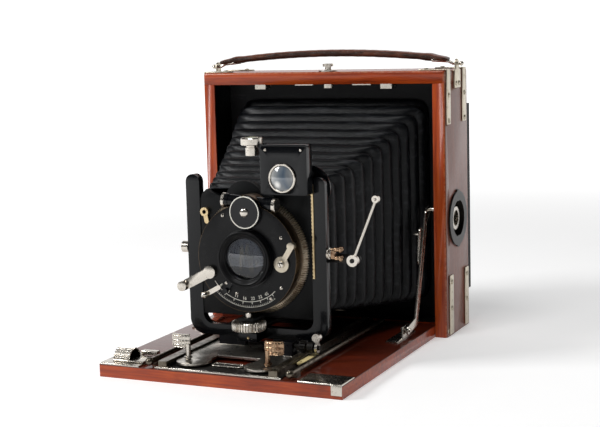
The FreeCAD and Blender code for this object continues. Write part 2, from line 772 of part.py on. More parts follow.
def u_frame():
    """The U-shaped frame: two arms with round heads, joined by a bar with rounded corners."""
    outer = block(-arm_outer, arm_outer, arm_front, arm_rear, u_bottom, arm_top - arm_width / 2)
    outer = round_edges(outer, u_corner_radius, (0, 1, 0))
    square_top = block(-arm_outer, arm_outer, arm_front, arm_rear, 60, arm_top - arm_width / 2)
    inner = block(-arm_inner, arm_inner, arm_front - 1, arm_rear + 1, u_bottom + u_bar_height,
                  arm_top + 20)
    inner = round_edges(inner, u_corner_radius - 3.0, (0, 1, 0))
    frame = outer.fuse(square_top).removeSplitter().cut(inner)
    heads = [rod((side * arm_x, arm_front, arm_top - arm_width / 2),
                 (side * arm_x, arm_rear, arm_top - arm_width / 2), arm_width / 2) for side in (-1, 1)]
    frame = frame.fuse(heads).removeSplitter()
    stud_hole = rod((arm_outer - 3.0, standard_y, clamp_z), (arm_outer + 1.0, standard_y, clamp_z),
                    clamp_stud_radius + running_gap)
    knob_hole = rod((-arm_outer + 3.0, standard_y, clamp_z), (-arm_outer - 1.0, standard_y, clamp_z),
                    clamp_stud_radius + running_gap)
    ledge = block(-6.0, 6.0, rise_wheel_y - 3.0, arm_front, u_bottom + 1.0,
                  u_bottom + u_bar_height - 0.6)
    frame = frame.fuse(ledge).removeSplitter()
    bearing = rod((0, rise_wheel_y, u_bottom - 1), (0, rise_wheel_y, u_bottom + u_bar_height + 1),
                  rise_screw_radius + running_gap)
    return frame.cut(bearing).cut(stud_hole).cut(knob_hole)


clamp_z = 65.0
clamp_stud_radius = 1.6
parts["u_frame"] = u_frame()

strip_width = 1.8
parts["scale_strip"] = block(
    arm_inner + 0.8, arm_inner + 0.8 + strip_width, arm_front - 0.5, arm_front, 51.0, arm_top - 4.0)


def pinch_tab():
    """A finger tab that turns on an upright post. Squeezed with its twin, it frees the carriage."""
    x, y = pinch_post_x, lobe_y
    post = rod((x, y, carriage_z), (x, y, pinch_tab_z + 1.0), pinch_post_radius)
    collar = rod((x, y, plate_top + 0.15), (x, y, plate_top + 2.2), pinch_post_radius + 1.0)
    face = block(x - 1.5, x - 1.5 + pinch_tab_width, y - 0.7, y + 0.7, pinch_tab_z,
                 pinch_tab_z + pinch_tab_height)
    face = round_edges(face, 1.8, (0, 1, 0))
    return post.fuse([collar, face]).removeSplitter()


parts["pinch_tab_right"] = pinch_tab()
parts["pinch_tab_left"] = mirrored(pinch_tab())


def focus_pinion():
    """A shaft with a toothed pinion over the rack, a milled collar to turn it by, and an end button."""
    shaft = rod((shaft_x0 - 1.5, pinion_y, pinion_z), (lock_x0 + 2.2, pinion_y, pinion_z),
                pinion_shaft_radius)
    tip = pinion_pitch_radius + 0.25 * rack_height
    root = pinion_pitch_radius - 0.5 * rack_height
    points = []
    for tooth in range(pinion_teeth):
        for share, radius in ((-0.16, root), (-0.07, tip), (0.07, tip), (0.16, root)):
            angle = 2 * math.pi * (tooth + share) / pinion_teeth + pinion_phase
            points.append((pinion_y + radius * math.cos(angle), pinion_z + radius * math.sin(angle)))
    low_x = inner_rail_x - rack_width / 2
    gear = plate_yz(points, low_x, low_x + rack_width)
    knob = rod((knob_x0, pinion_y, pinion_z), (knob_x1, pinion_y, pinion_z), focus_knob_radius)
    end = rod((shaft_x0 - 2.5, pinion_y, pinion_z), (shaft_x0 - 1.0, pinion_y, pinion_z), 2.2)
    return shaft.fuse([gear, knob, end]).removeSplitter()


def lock_lever():
    """The lever on the end of the focusing shaft that locks it, with a dished button on top."""
    x0, x1 = lock_x0, lock_x0 + 1.4
    hub = rod((x0, pinion_y, pinion_z), (x1, pinion_y, pinion_z), 2.7)
    arm = block(x0, x1, pinion_y - 1.0, pinion_y + 1.0, pinion_z - 2.6, pinion_z + 5.2)
    button = rod((x0 + 0.7, pinion_y - 1.6, pinion_z + 5.6),
                 (x0 + 0.7, pinion_y + 1.2, pinion_z + 5.6), 2.4)
    lever = hub.fuse([arm, button]).removeSplitter()
    return lever.cut(rod((x0 - 1, pinion_y, pinion_z), (x1 + 1, pinion_y, pinion_z),
                         pinion_shaft_radius + running_gap))


rack_first = track_front + 3.0
gap_share = 0.73           # where the middle of a gap lies in each pitch of the rack
gap_offset = ((pinion_y - rack_first) / rack_pitch - gap_share) % 1.0
pinion_phase = -math.pi / 2 - gap_offset * 2 * math.pi / pinion_teeth
parts["focus_pinion"] = focus_pinion()
parts["lock_lever"] = lock_lever()


def rise_wheel():
    """A horizontal thumb wheel on an upright screw that carries the lens board up and down."""
    wheel = rod((0, rise_wheel_y, rise_wheel_z), (0, rise_wheel_y, wheel_top), rise_wheel_radius)
    foot = u_bottom + 1.2
    screw = rod((0, rise_wheel_y, foot), (0, rise_wheel_y, lens_z - shutter_radius - 0.4),
                rise_screw_radius)
    return wheel.fuse(screw).removeSplitter()


parts["rise_wheel"] = rise_wheel()

# ---- the clamp and the folding sight rod on the right arm -----------------------------------------
clamp_face = arm_outer + 0.2
sight_pivot_x = arm_outer + 14.2


def wing_clamp():
    """A screw through the right arm with a two-lobed bronze grip."""
    stud = rod((arm_outer - 2.8, standard_y, clamp_z), (clamp_face + 8.6, standard_y, clamp_z),
               clamp_stud_radius)
    collar = rod((clamp_face, standard_y, clamp_z), (clamp_face + 2.0, standard_y, clamp_z), 3.4)
    grips = []
    for side in (-1, 1):
        grip = block(clamp_face + 2.0, clamp_face + 9.0, standard_y - 1.2, standard_y + 1.2,
                     clamp_z + side * 3.4 - 2.1, clamp_z + side * 3.4 + 2.1)
        grips.append(round_edges(grip, 1.0, (0, 1, 0)))
    web = block(clamp_face + 2.0, clamp_face + 5.0, standard_y - 1.2, standard_y + 1.2,
                clamp_z - 4.0, clamp_z + 4.0)
    return stud.fuse([collar, web] + grips).removeSplitter()


parts["wing_clamp"] = wing_clamp()

sight_top = (sight_pivot_x + 14.0, 95.5)
sight_base = (sight_pivot_x, 61.5)
sight_front = standard_y - 0.4


def sight_arm():
    """A fixed arm behind the clamp that carries the sight rod's pivot."""
    y0 = arm_rear + 3.4
    y1 = y0 + 1.2
    root = (arm_x, sight_base[1])
    plate = bar_between(root, sight_base, 5.0, y0, y1)
    stand = rod((root[0], arm_rear, root[1]), (root[0], y1, root[1]), 2.5)
    pivot = rod((sight_base[0], sight_front - 0.6, sight_base[1]),
                (sight_base[0], y1, sight_base[1]), 1.2)
    return plate.fuse([stand, pivot]).removeSplitter()


def sight_rod():
    """A thin rod that turns on the arm's pivot, with a foot disc and a small eye at its top."""
    y0, y1 = sight_front, standard_y + 2.4
    disc = rod((sight_base[0], y0, sight_base[1]), (sight_base[0], y1, sight_base[1]), 3.2)
    wand = rod((sight_base[0], standard_y + 0.9, sight_base[1]),
               (sight_top[0], standard_y + 0.9, sight_top[1]), 0.8)
    eye = rod((sight_top[0], standard_y - 0.3, sight_top[1]),
              (sight_top[0], standard_y + 2.1, sight_top[1]), 2.0)
    hole = rod((sight_base[0], y0 - 1, sight_base[1]), (sight_base[0], y1 + 1, sight_base[1]),
               1.2 + running_gap)
    peep = rod((sight_top[0], standard_y - 2, sight_top[1]),
               (sight_top[0], standard_y + 4, sight_top[1]), 0.8)
    return disc.fuse([wand, eye]).removeSplitter().cut(hole).cut(peep)


parts["sight_arm"] = sight_arm()
parts["sight_rod"] = sight_rod()


def left_knob():
    """A small clamping screw through the left arm."""
    stud = rod((-arm_outer + 2.8, standard_y, clamp_z), (-arm_outer - 1.0, standard_y, clamp_z),
               clamp_stud_radius)
    head = rod((-arm_outer - 0.2, standard_y, clamp_z), (-arm_outer - 4.2, standard_y, clamp_z), 3.3)
    return stud.fuse(head).removeSplitter()


parts["left_knob"] = left_knob()

# ---- the lens board -----------------------------------------------------------------------------
finder_pivot = (board_half - 2.45, 100.3)
ear_left = finder_pivot[0] - 19.5
ear_top = 111.0
finder_disc_radius = 12.4


def arc_points(cx, cz, radius, first, last, count):
    """Points along an arc in X and Z, from one angle to another, in degrees."""
    steps = [math.radians(first + (last - first) * i / (count - 1)) for i in range(count)]
    return [(cx + radius * math.cos(a), cz + radius * math.sin(a)) for a in steps]


def lens_board():
    """A plate between the U's arms: a domed top, an ear behind the finder, and the screw's nut."""
    dome = arc_points(dome_x, dome_top - dome_radius, dome_radius, 25.0, 155.0, 12)
    outline = [(-board_half, nut_low), (board_half, nut_low), (board_half, ear_top), (ear_left, ear_top),
               (ear_left, board_shoulder + 1.0)] + dome
    outline += [(-board_half + 14.0, board_shoulder - 0.4), (-board_half + 7.0, board_peak - 1.6),
                (-board_half + 4.0, board_peak), (-board_half + 1.2, board_shoulder + 1.6),
                (-board_half, board_shoulder - 1.4)]
    plate = plate_xz(outline, board_front, board_rear)
    hole = rod((0, board_front - 1, lens_z), (0, board_rear + 2, lens_z), 20.0)
    nut = block(-4.5, 4.5, rise_wheel_y - 3.5, board_front + 0.2, nut_low, nut_high)
    bore = rod((0, rise_wheel_y, 0), (0, rise_wheel_y, 60), rise_screw_radius + running_gap)
    pivot_hole = rod((finder_pivot[0], board_front - 1, finder_pivot[1]),
                     (finder_pivot[0], board_rear + 1, finder_pivot[1]), 1.5 + running_gap)
    return plate.cut(hole).fuse(nut).removeSplitter().cut(bore).cut(pivot_hole)


parts["lens_board"] = lens_board()


def finder_quadrant():
    """Half a disc behind the right arm, with a spacer to the board's ear: the finder's click plate."""
    x0 = bellows_front_half + 0.8
    y0 = arm_rear + 0.3
    disc = rod((finder_pivot[0], y0, finder_pivot[1]), (finder_pivot[0], y0 + 1.2, finder_pivot[1]),
               finder_disc_radius)
    keep = block(x0, x0 + 30, y0, y0 + 1.2, finder_pivot[1] - 20, finder_pivot[1] + 20)
    spacer = block(x0, board_half, board_rear, y0, finder_pivot[1] + 2.4, finder_pivot[1] + 9.0)
    return disc.common(keep).fuse(spacer).removeSplitter()


parts["finder_quadrant"] = finder_quadrant()

latch_top = (-30.7, 86.0)
latch_tip = (-29.8, 80.6)


def board_latch():
    """The small latch at the board's upper left, with a finger ring."""
    y0, y1 = board_front - 1.2, board_front - 0.15
    arm = bar_between(latch_top, latch_tip, 2.6, y0, y1)
    ring = tube((latch_top[0], y0 - 0.8, latch_top[1]), (latch_top[0], y1, latch_top[1]), 2.5, 1.2)
    return arm.fuse(ring).removeSplitter().cut(
        rod((latch_top[0], y0 - 1, latch_top[1]), (latch_top[0], y1 + 1, latch_top[1]), 1.2))


parts["board_latch"] = board_latch()


def cylinder_line():
    """Where the air cylinder starts, and its direction."""
    cx, cz = cylinder_centre
    dx = cylinder_length / 2 * math.cos(math.radians(cylinder_tilt))
    dz = -cylinder_length / 2 * math.sin(math.radians(cylinder_tilt))
    y = rim_front - cylinder_radius - 0.6
    start = V(cx - dx, y, cz - dz)
    return start, V(dx, 0, dz).normalize()


def shutter_body():
    """The shutter's round housing, with a boss above for the speed dial and a lower front step."""
    drum = rod((0, shutter_front, lens_z), (0, rim_front, lens_z), shutter_radius)
    boss = rod((dial_x, shutter_front - 0.8, dial_z), (dial_x, rim_front, dial_z), dial_boss_radius)
    case = drum.fuse(boss).removeSplitter()
    hole = rod((0, shutter_front - 2, lens_z), (0, rim_front + 1, lens_z), glass_radius + 1.2)
    start, along = cylinder_line()
    channel = Part.makeCylinder(cylinder_radius + 0.05, cylinder_length + 10, start - along * 5, along)
    return case.cut(hole).cut(channel)


parts["shutter_body"] = shutter_body()
parts["shutter_rim"] = tube((0, rim_front, lens_z), (0, board_front, lens_z), rim_radius, 19.0)


def air_cylinder():
    """The small brake cylinder across the top of the shutter, with a cap ring at each end."""
    start, along = cylinder_line()
    body = Part.makeCylinder(cylinder_radius - 0.4, cylinder_length, start, along)
    for place in (0.6, cylinder_length - 3.6):
        body = body.fuse(Part.makeCylinder(cylinder_radius, 3.0, start + along * place, along))
    return body.removeSplitter()


parts["air_cylinder"] = air_cylinder()


def lens_barrel():
    """The front cell: a stepped black ring that holds the front glass."""
    outer = rod((0, barrel_front, lens_z), (0, shutter_front, lens_z), barrel_radius)
    back = rod((0, shutter_front, lens_z), (0, shutter_front + 5.0, lens_z), glass_radius + 1.2)
    cone = Part.makeCone(glass_radius + 2.6, glass_radius, 2.4, V(0, barrel_front, lens_z), V(0, 1, 0))
    hole = rod((0, barrel_front, lens_z), (0, shutter_front + 6, lens_z), glass_radius)
    return outer.fuse(back).removeSplitter().cut(hole).cut(cone)


parts["lens_barrel"] = lens_barrel()


def lens_glass():
    """The front glass: a disc with a shallow crown."""
    disc = rod((0, barrel_front + 2.4, lens_z), (0, barrel_front + 5.0, lens_z), glass_radius)
    crown_radius = 30.0
    sag = crown_radius - math.sqrt(crown_radius ** 2 - glass_radius ** 2)
    ball = Part.makeSphere(crown_radius, V(0, barrel_front + 2.4 - sag + crown_radius, lens_z))
    slab = rod((0, barrel_front + 2.4 - sag - 0.5, lens_z), (0, barrel_front + 2.4, lens_z),
               glass_radius)
    return disc.fuse(slab.common(ball)).removeSplitter()


parts["lens_glass"] = lens_glass()


# ---- controls on the shutter --------------------------------------------------------------------
dial_y = shutter_front - 0.8


def speed_dial():
    """A round dial with a raised hub and a stem that turns in the shutter's boss."""
    disc = rod((dial_x, dial_y - 0.15, dial_z), (dial_x, dial_y - 0.15 - dial_height, dial_z),
               dial_radius)
    hub = rod((dial_x, dial_y - 0.15 - dial_height, dial_z),
              (dial_x, dial_y - 1.6 - dial_height, dial_z), 3.2)
    return disc.fuse(hub).removeSplitter()


parts["speed_dial"] = speed_dial()

lever_y = shutter_front - 0.15
cocking_pivot = (-22.5, 54.0)
cocking_end = (-39.0, 45.6)


def cocking_lever():
    """The lever that winds the shutter's spring: a flat arm with a turned knob at its end."""
    arm = bar_between(cocking_pivot, cocking_end, 5.6, lever_y - lever_thickness, lever_y)
    hub = rod((cocking_pivot[0], lever_y - 2.2, cocking_pivot[1]),
              (cocking_pivot[0], lever_y, cocking_pivot[1]), 3.6)
    knob = rod((cocking_end[0], lever_y - 4.6, cocking_end[1]),
               (cocking_end[0], lever_y, cocking_end[1]), 2.8)
    return arm.fuse([hub, knob]).removeSplitter()


parts["cocking_lever"] = cocking_lever()

release_pivot = (-17.5, 45.5)
release_end = (-25.8, 41.0)


def release_lever():
    """The lever that fires the shutter: a short arm with a ball at its end."""
    y1 = lever_y
    arm = bar_between(release_pivot, release_end, 2.6, y1 - 0.9, y1)
    ball = Part.makeSphere(1.9, V(release_end[0], y1 - 2.2, release_end[1]))
    return arm.fuse(ball).removeSplitter()


parts["release_lever"] = release_lever()

selector_pivot = (21.6, 60.4)
selector_end = (28.2, 70.8)


def selector_lever():
    """The drop-shaped lever that chooses time, bulb or instantaneous."""
    drop = rod((selector_pivot[0], lever_y - 1.4, selector_pivot[1]),
               (selector_pivot[0], lever_y, selector_pivot[1]), 4.4)
    neck = bar_between(selector_pivot, selector_end, 3.0, lever_y - 1.4, lever_y)
    hub = rod((selector_pivot[0], lever_y - 2.4, selector_pivot[1]),
              (selector_pivot[0], lever_y, selector_pivot[1]), 2.0)
    knob = rod((selector_end[0], lever_y - 3.4, selector_end[1]),
               (selector_end[0], lever_y, selector_end[1]), 2.1)
    return drop.fuse([neck, hub, knob]).removeSplitter()


parts["selector_lever"] = selector_lever()

pointer_angle = -125.0
pointer_ring_width = 0.8


def aperture_pointer():
    """The iris pointer: a ring round the lens cell with a tab over the aperture scale."""
    y0, y1 = lever_y - 0.9, lever_y
    ring = tube((0, y0, lens_z), (0, y1, lens_z), barrel_radius + pointer_ring_width,
                barrel_radius + running_gap)
    angle = math.radians(pointer_angle)
    start = ((barrel_radius + 0.5) * math.cos(angle), lens_z + (barrel_radius + 0.5) * math.sin(angle))
    end = (22.5 * math.cos(angle), lens_z + 22.5 * math.sin(angle))
    tab = bar_between(start, end, 2.4, y0, y1)
    knob = rod((end[0], y0 - 1.6, end[1]), (end[0], y1, end[1]), 1.5)
    bore = rod((0, y0 - 3, lens_z), (0, y1, lens_z), barrel_radius + running_gap)
    return ring.fuse([tab, knob]).cut(bore)


parts["aperture_pointer"] = aperture_pointer()

# ---- the waist-level finder ---------------------------------------------------------------------
finder_x0 = finder_pivot[0] - 23.0
finder_x1 = finder_pivot[0] + 4.7
finder_high = 124.0
finder_low = 97.6
finder_front = -102.0
finder_rear = arm_front - 0.8
finder_lens_x = finder_pivot[0] - 9.7
finder_lens_z = 106.9
finder_lens_radius = 8.0
level_x = finder_pivot[0] - 29.3
level_radius = 6.2


def finder_box():
    """The finder's box: a seat for the front lens, a window on top, and the pin it swings on."""
    body = block(finder_x0, finder_x1, finder_front, finder_rear, finder_low, finder_high)
    body = round_edges(body, 1.0, (0, 1, 0))
    seat = rod((finder_lens_x, finder_front - 1, finder_lens_z),
               (finder_lens_x, finder_front + 2.2, finder_lens_z),
               finder_lens_radius)
    window = block(finder_x0 + 3.0, finder_x1 - 3.0, finder_front + 1.6, finder_rear - 1.4,
                   finder_high - 3.0, finder_high + 1)
    pin = rod((finder_pivot[0], finder_rear - 1.0, finder_pivot[1]),
              (finder_pivot[0], board_rear - 0.6, finder_pivot[1]), 1.5)
    return body.cut(seat).cut(window).fuse(pin).removeSplitter()


def finder_lens():
    """The finder's domed front glass in its ring."""
    ring = rod((finder_lens_x, finder_front - 1.2, finder_lens_z),
               (finder_lens_x, finder_front + 2.2, finder_lens_z),
               finder_lens_radius)
    ball = Part.makeSphere(14.0, V(finder_lens_x, finder_front - 2.8 + 14.0, finder_lens_z))
    dome = ball.common(rod((finder_lens_x, finder_front - 3.0, finder_lens_z),
                           (finder_lens_x, finder_front, finder_lens_z), 6.8))
    return ring.fuse(dome).removeSplitter()


def finder_hood():
    """The finder's lid, which turns up about its rear edge, with a folded lip in front."""
    lid = block(finder_x0 + 0.2, finder_x1 - 0.2, finder_front, finder_rear, finder_high + 0.2,
                finder_high + 1.2)
    screw = rod((finder_x0 + 2.6, finder_front + 1.8, finder_high + 1.2),
                (finder_x0 + 2.6, finder_front + 1.8, finder_high + 1.8), 1.1)
    return lid.fuse(screw).removeSplitter()


def spirit_level():
    """A round level in a nickel cup on a bracket at the finder's left."""
    y = (finder_front + finder_rear) / 2
    cup = rod((level_x, y, finder_high - 5.4), (level_x, y, finder_high + 1.0), level_radius - 1.2)
    flange = rod((level_x, y, finder_high + 0.4), (level_x, y, finder_high + 1.8), level_radius)
    top = rod((level_x, y, finder_high + 1.8), (level_x, y, finder_high + 4.6), level_radius - 1.6)
    bracket = block(level_x, finder_x0, y - 1.5, y + 1.5, finder_high - 5.4, finder_high - 3.4)
    return cup.fuse([flange, top, bracket]).removeSplitter().common(
        block(level_x - 20, finder_x0 - 0.05, y - 20, y + 20, finder_high - 20, finder_high + 20))


parts["finder_box"] = finder_box()
parts["finder_lens"] = finder_lens()
parts["finder_hood"] = finder_hood()
parts["spirit_level"] = spirit_level()


# ---- the bellows --------------------------------------------------------------------------------
def bellows():
    """A tapered, pleated leather tube from the rear frame to the lens board, open inside."""
    start = bellows_frame_y - bellows_end_gap
    end = board_rear + bellows_end_gap
    folds = 2 * bellows_pleats

    def section(step, shrink):
        share = step / folds
        inset = bellows_fold_depth * (step % 2) + shrink
        y = start + (end - start) * share
        half = bellows_rear_half + (bellows_front_half - bellows_rear_half) * share - inset
        low = bellows_rear_low + (bellows_front_low - bellows_rear_low) * share + inset
        high = bellows_rear_high + (bellows_front_high - bellows_rear_high) * share - inset
        corners = [V(-half, y, low), V(half, y, low), V(half, y, high), V(-half, y, high), V(-half, y, low)]
        return Part.makePolygon(corners)

    outer = Part.makeLoft([section(step, 0.0) for step in range(folds + 1)], True, True)
    inner = Part.makeLoft([section(step, bellows_skin) for step in range(folds + 1)], True, True)
    return outer.cut(inner)


parts["bellows"] = bellows()


# ---- write one file per piece -------------------------------------------------------------------
os.makedirs("parts", exist_ok=True)
for name, shape in parts.items():
    shape.exportStep(f"parts/{name}.step")
print(len(parts), "pieces written")
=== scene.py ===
# %% [markdown]
# # A folding plate camera
# The camera stands on its wooden case with the bed let down, the bellows drawn out and the shutter in
# front. Its exact shapes come from the packed frame, in metres, with X to the right, Y into the case and Z
# up. Here the shapes that are right get a finish, and the soft, milled and painted ones are made anew. We
# start by loading the frame.

# %% Load the frame
import json
import math
import bmesh
import bpy
import numpy as np
from mathutils import Matrix, Vector

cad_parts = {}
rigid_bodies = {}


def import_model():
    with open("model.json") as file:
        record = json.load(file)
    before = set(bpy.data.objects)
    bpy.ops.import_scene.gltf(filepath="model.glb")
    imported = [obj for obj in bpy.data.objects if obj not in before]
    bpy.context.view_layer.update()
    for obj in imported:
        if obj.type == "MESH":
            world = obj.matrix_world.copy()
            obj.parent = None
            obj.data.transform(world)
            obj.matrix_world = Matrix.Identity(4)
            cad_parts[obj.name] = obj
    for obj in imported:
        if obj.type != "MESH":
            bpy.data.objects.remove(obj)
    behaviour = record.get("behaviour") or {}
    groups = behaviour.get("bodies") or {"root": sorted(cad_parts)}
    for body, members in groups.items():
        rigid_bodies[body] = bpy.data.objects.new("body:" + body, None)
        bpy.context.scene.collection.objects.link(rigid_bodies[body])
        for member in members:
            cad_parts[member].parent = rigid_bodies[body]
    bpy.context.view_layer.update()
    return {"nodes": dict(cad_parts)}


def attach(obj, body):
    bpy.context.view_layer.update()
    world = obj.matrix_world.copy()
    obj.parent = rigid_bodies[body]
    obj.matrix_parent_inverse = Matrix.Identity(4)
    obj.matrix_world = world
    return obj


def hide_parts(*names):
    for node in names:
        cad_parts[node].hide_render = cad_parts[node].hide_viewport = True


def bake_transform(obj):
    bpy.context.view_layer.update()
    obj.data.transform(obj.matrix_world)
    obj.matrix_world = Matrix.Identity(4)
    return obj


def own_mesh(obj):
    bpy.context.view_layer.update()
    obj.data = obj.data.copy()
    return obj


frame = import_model()
mm = 0.001
lens_z = 62.5  # height of the taking lens's axis, in millimetres

# %% [markdown]
# ## The camera that looks at it
# A lens is a distance, two angles and a focal length. The place was solved from the case's straight edges,
# so the case must look as a 160 mm square does from there. Setting the three axes of the view as the
# columns of a matrix is surer than aiming at a target, because it also keeps the slight roll.

# %% Place the viewing camera
def placed(name, data):
    """A new object in the scene, at the origin, that holds the data."""
    made = bpy.data.objects.new(name, data)
    bpy.context.scene.collection.objects.link(made)
    return made


azimuth, elevation, roll = math.radians(24.68), math.radians(7.94), -0.027
back = Vector((math.sin(azimuth) * math.cos(elevation), -math.cos(azimuth) * math.cos(elevation),
               math.sin(elevation)))
level_right = (-back).cross(Vector((0, 0, 1))).normalized()
level_up = level_right.cross(-back)
right = math.cos(roll) * level_right + math.sin(roll) * level_up
up = -math.sin(roll) * level_right + math.cos(roll) * level_up
lens = bpy.data.cameras.new("viewing_lens")
lens.lens, lens.sensor_width, lens.clip_start, lens.clip_end = 80.52, 36.0, 0.01, 20.0
viewer = placed("viewing_camera", lens)
turn = Matrix((right, up, back)).transposed()
viewer.matrix_world = Matrix.Translation(Vector((330.389, -751.899, 187.868)) * mm) @ turn.to_4x4()
bpy.context.scene.camera = viewer
print("camera looks along", [round(v, 3) for v in -back])

# %% [markdown]
# ## Shader sums as plain expressions
# A finish is a small network of nodes. Wrapping a socket in a class with the arithmetic signs lets a line
# such as `grain * 0.6 + figure * 0.4` add the Math nodes by itself. Any other node comes from one method,
# which sets the node's own settings first and its sockets second.

# %% A socket that can be added and multiplied
class Reading:
    """One output socket of a finish; arithmetic on it adds Math nodes."""

    def __init__(self, finish, socket):
        self.finish, self.socket = finish, socket

    def sum(self, operation, *terms):
        """A Math node of that operation on the terms."""
        return self.finish.node("ShaderNodeMath", {"operation": operation}, dict(enumerate(terms)))

    def __add__(self, other):
        return self.sum("ADD", self, other)

    def __sub__(self, other):
        return self.sum("SUBTRACT", self, other)

    def __rsub__(self, other):
        return self.sum("SUBTRACT", other, self)

    def __mul__(self, other):
        return self.sum("MULTIPLY", self, other)

    def __pow__(self, other):
        return self.sum("POWER", self, other)

    def __gt__(self, other):
        return self.sum("GREATER_THAN", self, other)

    __radd__, __rmul__ = __add__, __mul__


print("a reading's signs:", [sign for sign in vars(Reading) if sign.startswith("__")])

# %% [markdown]
# A finish is one Principled shader with a few helpers round it. What is the same all over is set on the
# shader's own sockets, and only what changes over the surface is linked. Points are read in object
# coordinates, in metres, so a pattern keeps its real size on every piece.

# %% A finish
class Finish:
    """A material built from a Principled shader, with constants on its own sockets."""

    def __init__(self, name, **constants):
        self.material = bpy.data.materials.new(name)
        self.material.use_nodes = True
        self.tree = self.material.node_tree
        self.shader = self.tree.nodes["Principled BSDF"]
        for socket, value in constants.items():
            self.shader.inputs[socket.replace("_", " ")].default_value = value

    def node(self, kind, settings, sockets, output=0):
        """Any node: its settings or ramp stops first, then the values or links of its sockets."""
        made = self.tree.nodes.new(kind)
        for setting, value in settings.items():
            if setting == "stops":
                stops = made.color_ramp.elements
                for place, colour in value[2:]:
                    stops.new(place)
                for stop, (place, colour) in zip(stops, sorted(value)):
                    stop.position, stop.color = place, (*colour, 1.0)
            else:
                setattr(made, setting, value)
        for socket, value in sockets.items():
            if isinstance(value, Reading):
                self.tree.links.new(value.socket, made.inputs[socket])
            else:
                made.inputs[socket].default_value = value
        return Reading(self, made.outputs[output])

    def place(self, stretch=(1, 1, 1)):
        """The point on the object in metres, multiplied axis by axis by stretch."""
        point = self.node("ShaderNodeTexCoord", {}, {}, 3)
        return self.node("ShaderNodeVectorMath", {"operation": "MULTIPLY"}, {0: point, 1: stretch})

    def noise(self, where, scale, detail=3.0, roughness=0.5, distortion=0.0):
        """Cloudy noise between 0 and 1; scale is lumps per unit of where."""
        return self.node("ShaderNodeTexNoise", {}, {"Vector": where, "Scale": scale, "Detail": detail,
                                                    "Roughness": roughness, "Distortion": distortion})

    def ramp(self, value, stops):
        """Colour looked up by value; the first two stops are the ramp's ends."""
        return self.node("ShaderNodeValToRGB", {"stops": stops}, {0: value})

    def mix(self, first, second, share):
        """First colour where share is 0, second where it is 1."""
        first, second = [c if isinstance(c, Reading) else (*c, 1.0) for c in (first, second)]
        return self.node("ShaderNodeMix", {"data_type": "RGBA"}, {0: share, 6: first, 7: second}, 2)

    def between(self, value, low, high):
        """0 below low, 1 above high, smooth between."""
        return self.node("ShaderNodeMapRange", {"interpolation_type": "SMOOTHSTEP"},
                         {"Value": value, "From Min": low, "From Max": high})

    def axis(self, index):
        """One coordinate of the point on the object, in metres."""
        return self.node("ShaderNodeSeparateXYZ", {}, {0: self.place()}, index)

    def drive(self, **sockets):
        """Link readings to the shader's sockets."""
        for socket, value in sockets.items():
            self.tree.links.new(value.socket, self.shader.inputs[socket.replace("_", " ")])

    def bump(self, height, strength, distance):
        """Small relief in the surface's normal; distance is in metres."""
        self.drive(Normal=self.node("ShaderNodeBump", {}, {"Height": height, "Strength": strength,
                                                           "Distance": distance}))
        return self.material


print("finish helpers:", [helper for helper in vars(Finish) if not helper.startswith("_")])

# %% [markdown]
# ## Wood
# The case is a reddish tropical wood under a clear varnish. Grain is noise stretched along the board, so
# each board names the axis that its grain runs along. Fine dark pores lie on a slower figure, the varnish
# is a coat with faint waves, and the outer edges are rubbed paler. The case's outer sides and the bed's
# top are painted darker as painted shade, and the case's inner faces are made near black. A wave texture
# was the other way, but its rings look printed.

# %% Varnished wood
bed_top_painted_shade, case_side_painted_shade = (0.055, 0.005, 0.0015), (0.13, 0.04, 0.022)


def varnished_wood(name, along, dark, middle, light, rubbed_edges_and_side_shade, rough):
    """Colour = ramp of stretched grain plus slow figure, minus pores; a true sixth argument adds paler rubbed
    edges, painted shade on the outer sides and near-black inner faces, a false one painted shade on the top.
    """
    wood = Finish(name, Coat_Weight=0.75, Coat_Roughness=rough, Coat_IOR=1.45, IOR=1.3)

    def stretched(across, lengthwise):
        scale = [across] * 3
        scale[along] = lengthwise
        return wood.place(scale)

    grain = wood.noise(stretched(520.0, 26.0), 1.0, 5.0, 0.6, 0.4)
    figure = wood.noise(stretched(46.0, 14.0), 1.0, 3.0, 0.55, 0.8)
    pore = wood.between(wood.noise(stretched(1500.0, 60.0), 1.0, 2.0, 0.6), 0.62, 0.72)
    colour = wood.ramp(grain * 0.55 + figure * 0.45, [(0.36, dark), (0.64, light), (0.5, middle)])
    colour = wood.mix(colour, [c * 0.45 for c in dark], pore * 0.55)
    stain = wood.between(wood.noise(wood.place(), 38.0, 4.0, 0.6), 0.56, 0.7)
    colour = wood.mix(colour, [c * 0.5 for c in dark], stain * 0.35)
    scuff = wood.noise(wood.place(), 420.0, 4.0, 0.7)
    if rubbed_edges_and_side_shade:
        abs_x = wood.node("ShaderNodeMath", {"operation": "ABSOLUTE"}, {0: wood.axis(0)})
        inside = ((1.0 - (abs_x > 0.0728)) * (1.0 - (wood.axis(2) > 0.1528)) * (wood.axis(2) > 0.0072)
                  * (wood.axis(1) > 0.0012))
        edge = wood.between(abs_x, 0.0784, 0.0799) + wood.between(wood.axis(2), 0.1586, 0.1599)
        front = 1.0 - wood.between(wood.axis(1), 0.0008, 0.0022)
        rubbed = edge * front * wood.between(scuff, 0.4, 0.58)
        colour = wood.mix(colour, (0.5, 0.2, 0.09), rubbed * 0.6)
        # painted shade: the case's outer sides are made darker, as if turned from the light
        colour = wood.mix(colour, case_side_painted_shade, (abs_x > 0.0797) * 0.8)
        colour = wood.mix(colour, (0.002, 0.002, 0.002), inside)
        wood.drive(Coat_Weight=0.6 * (1.0 - inside))
    else:
        # painted shade: the bed's top face is made darker
        colour = wood.mix(colour, bed_top_painted_shade, (wood.axis(2) > 0.0066) * 0.82)
    wood.drive(Base_Color=colour, Roughness=0.42 + 0.2 * scuff)
    return wood.bump(grain * 0.4 + scuff * 0.3, 0.12, 0.0004)


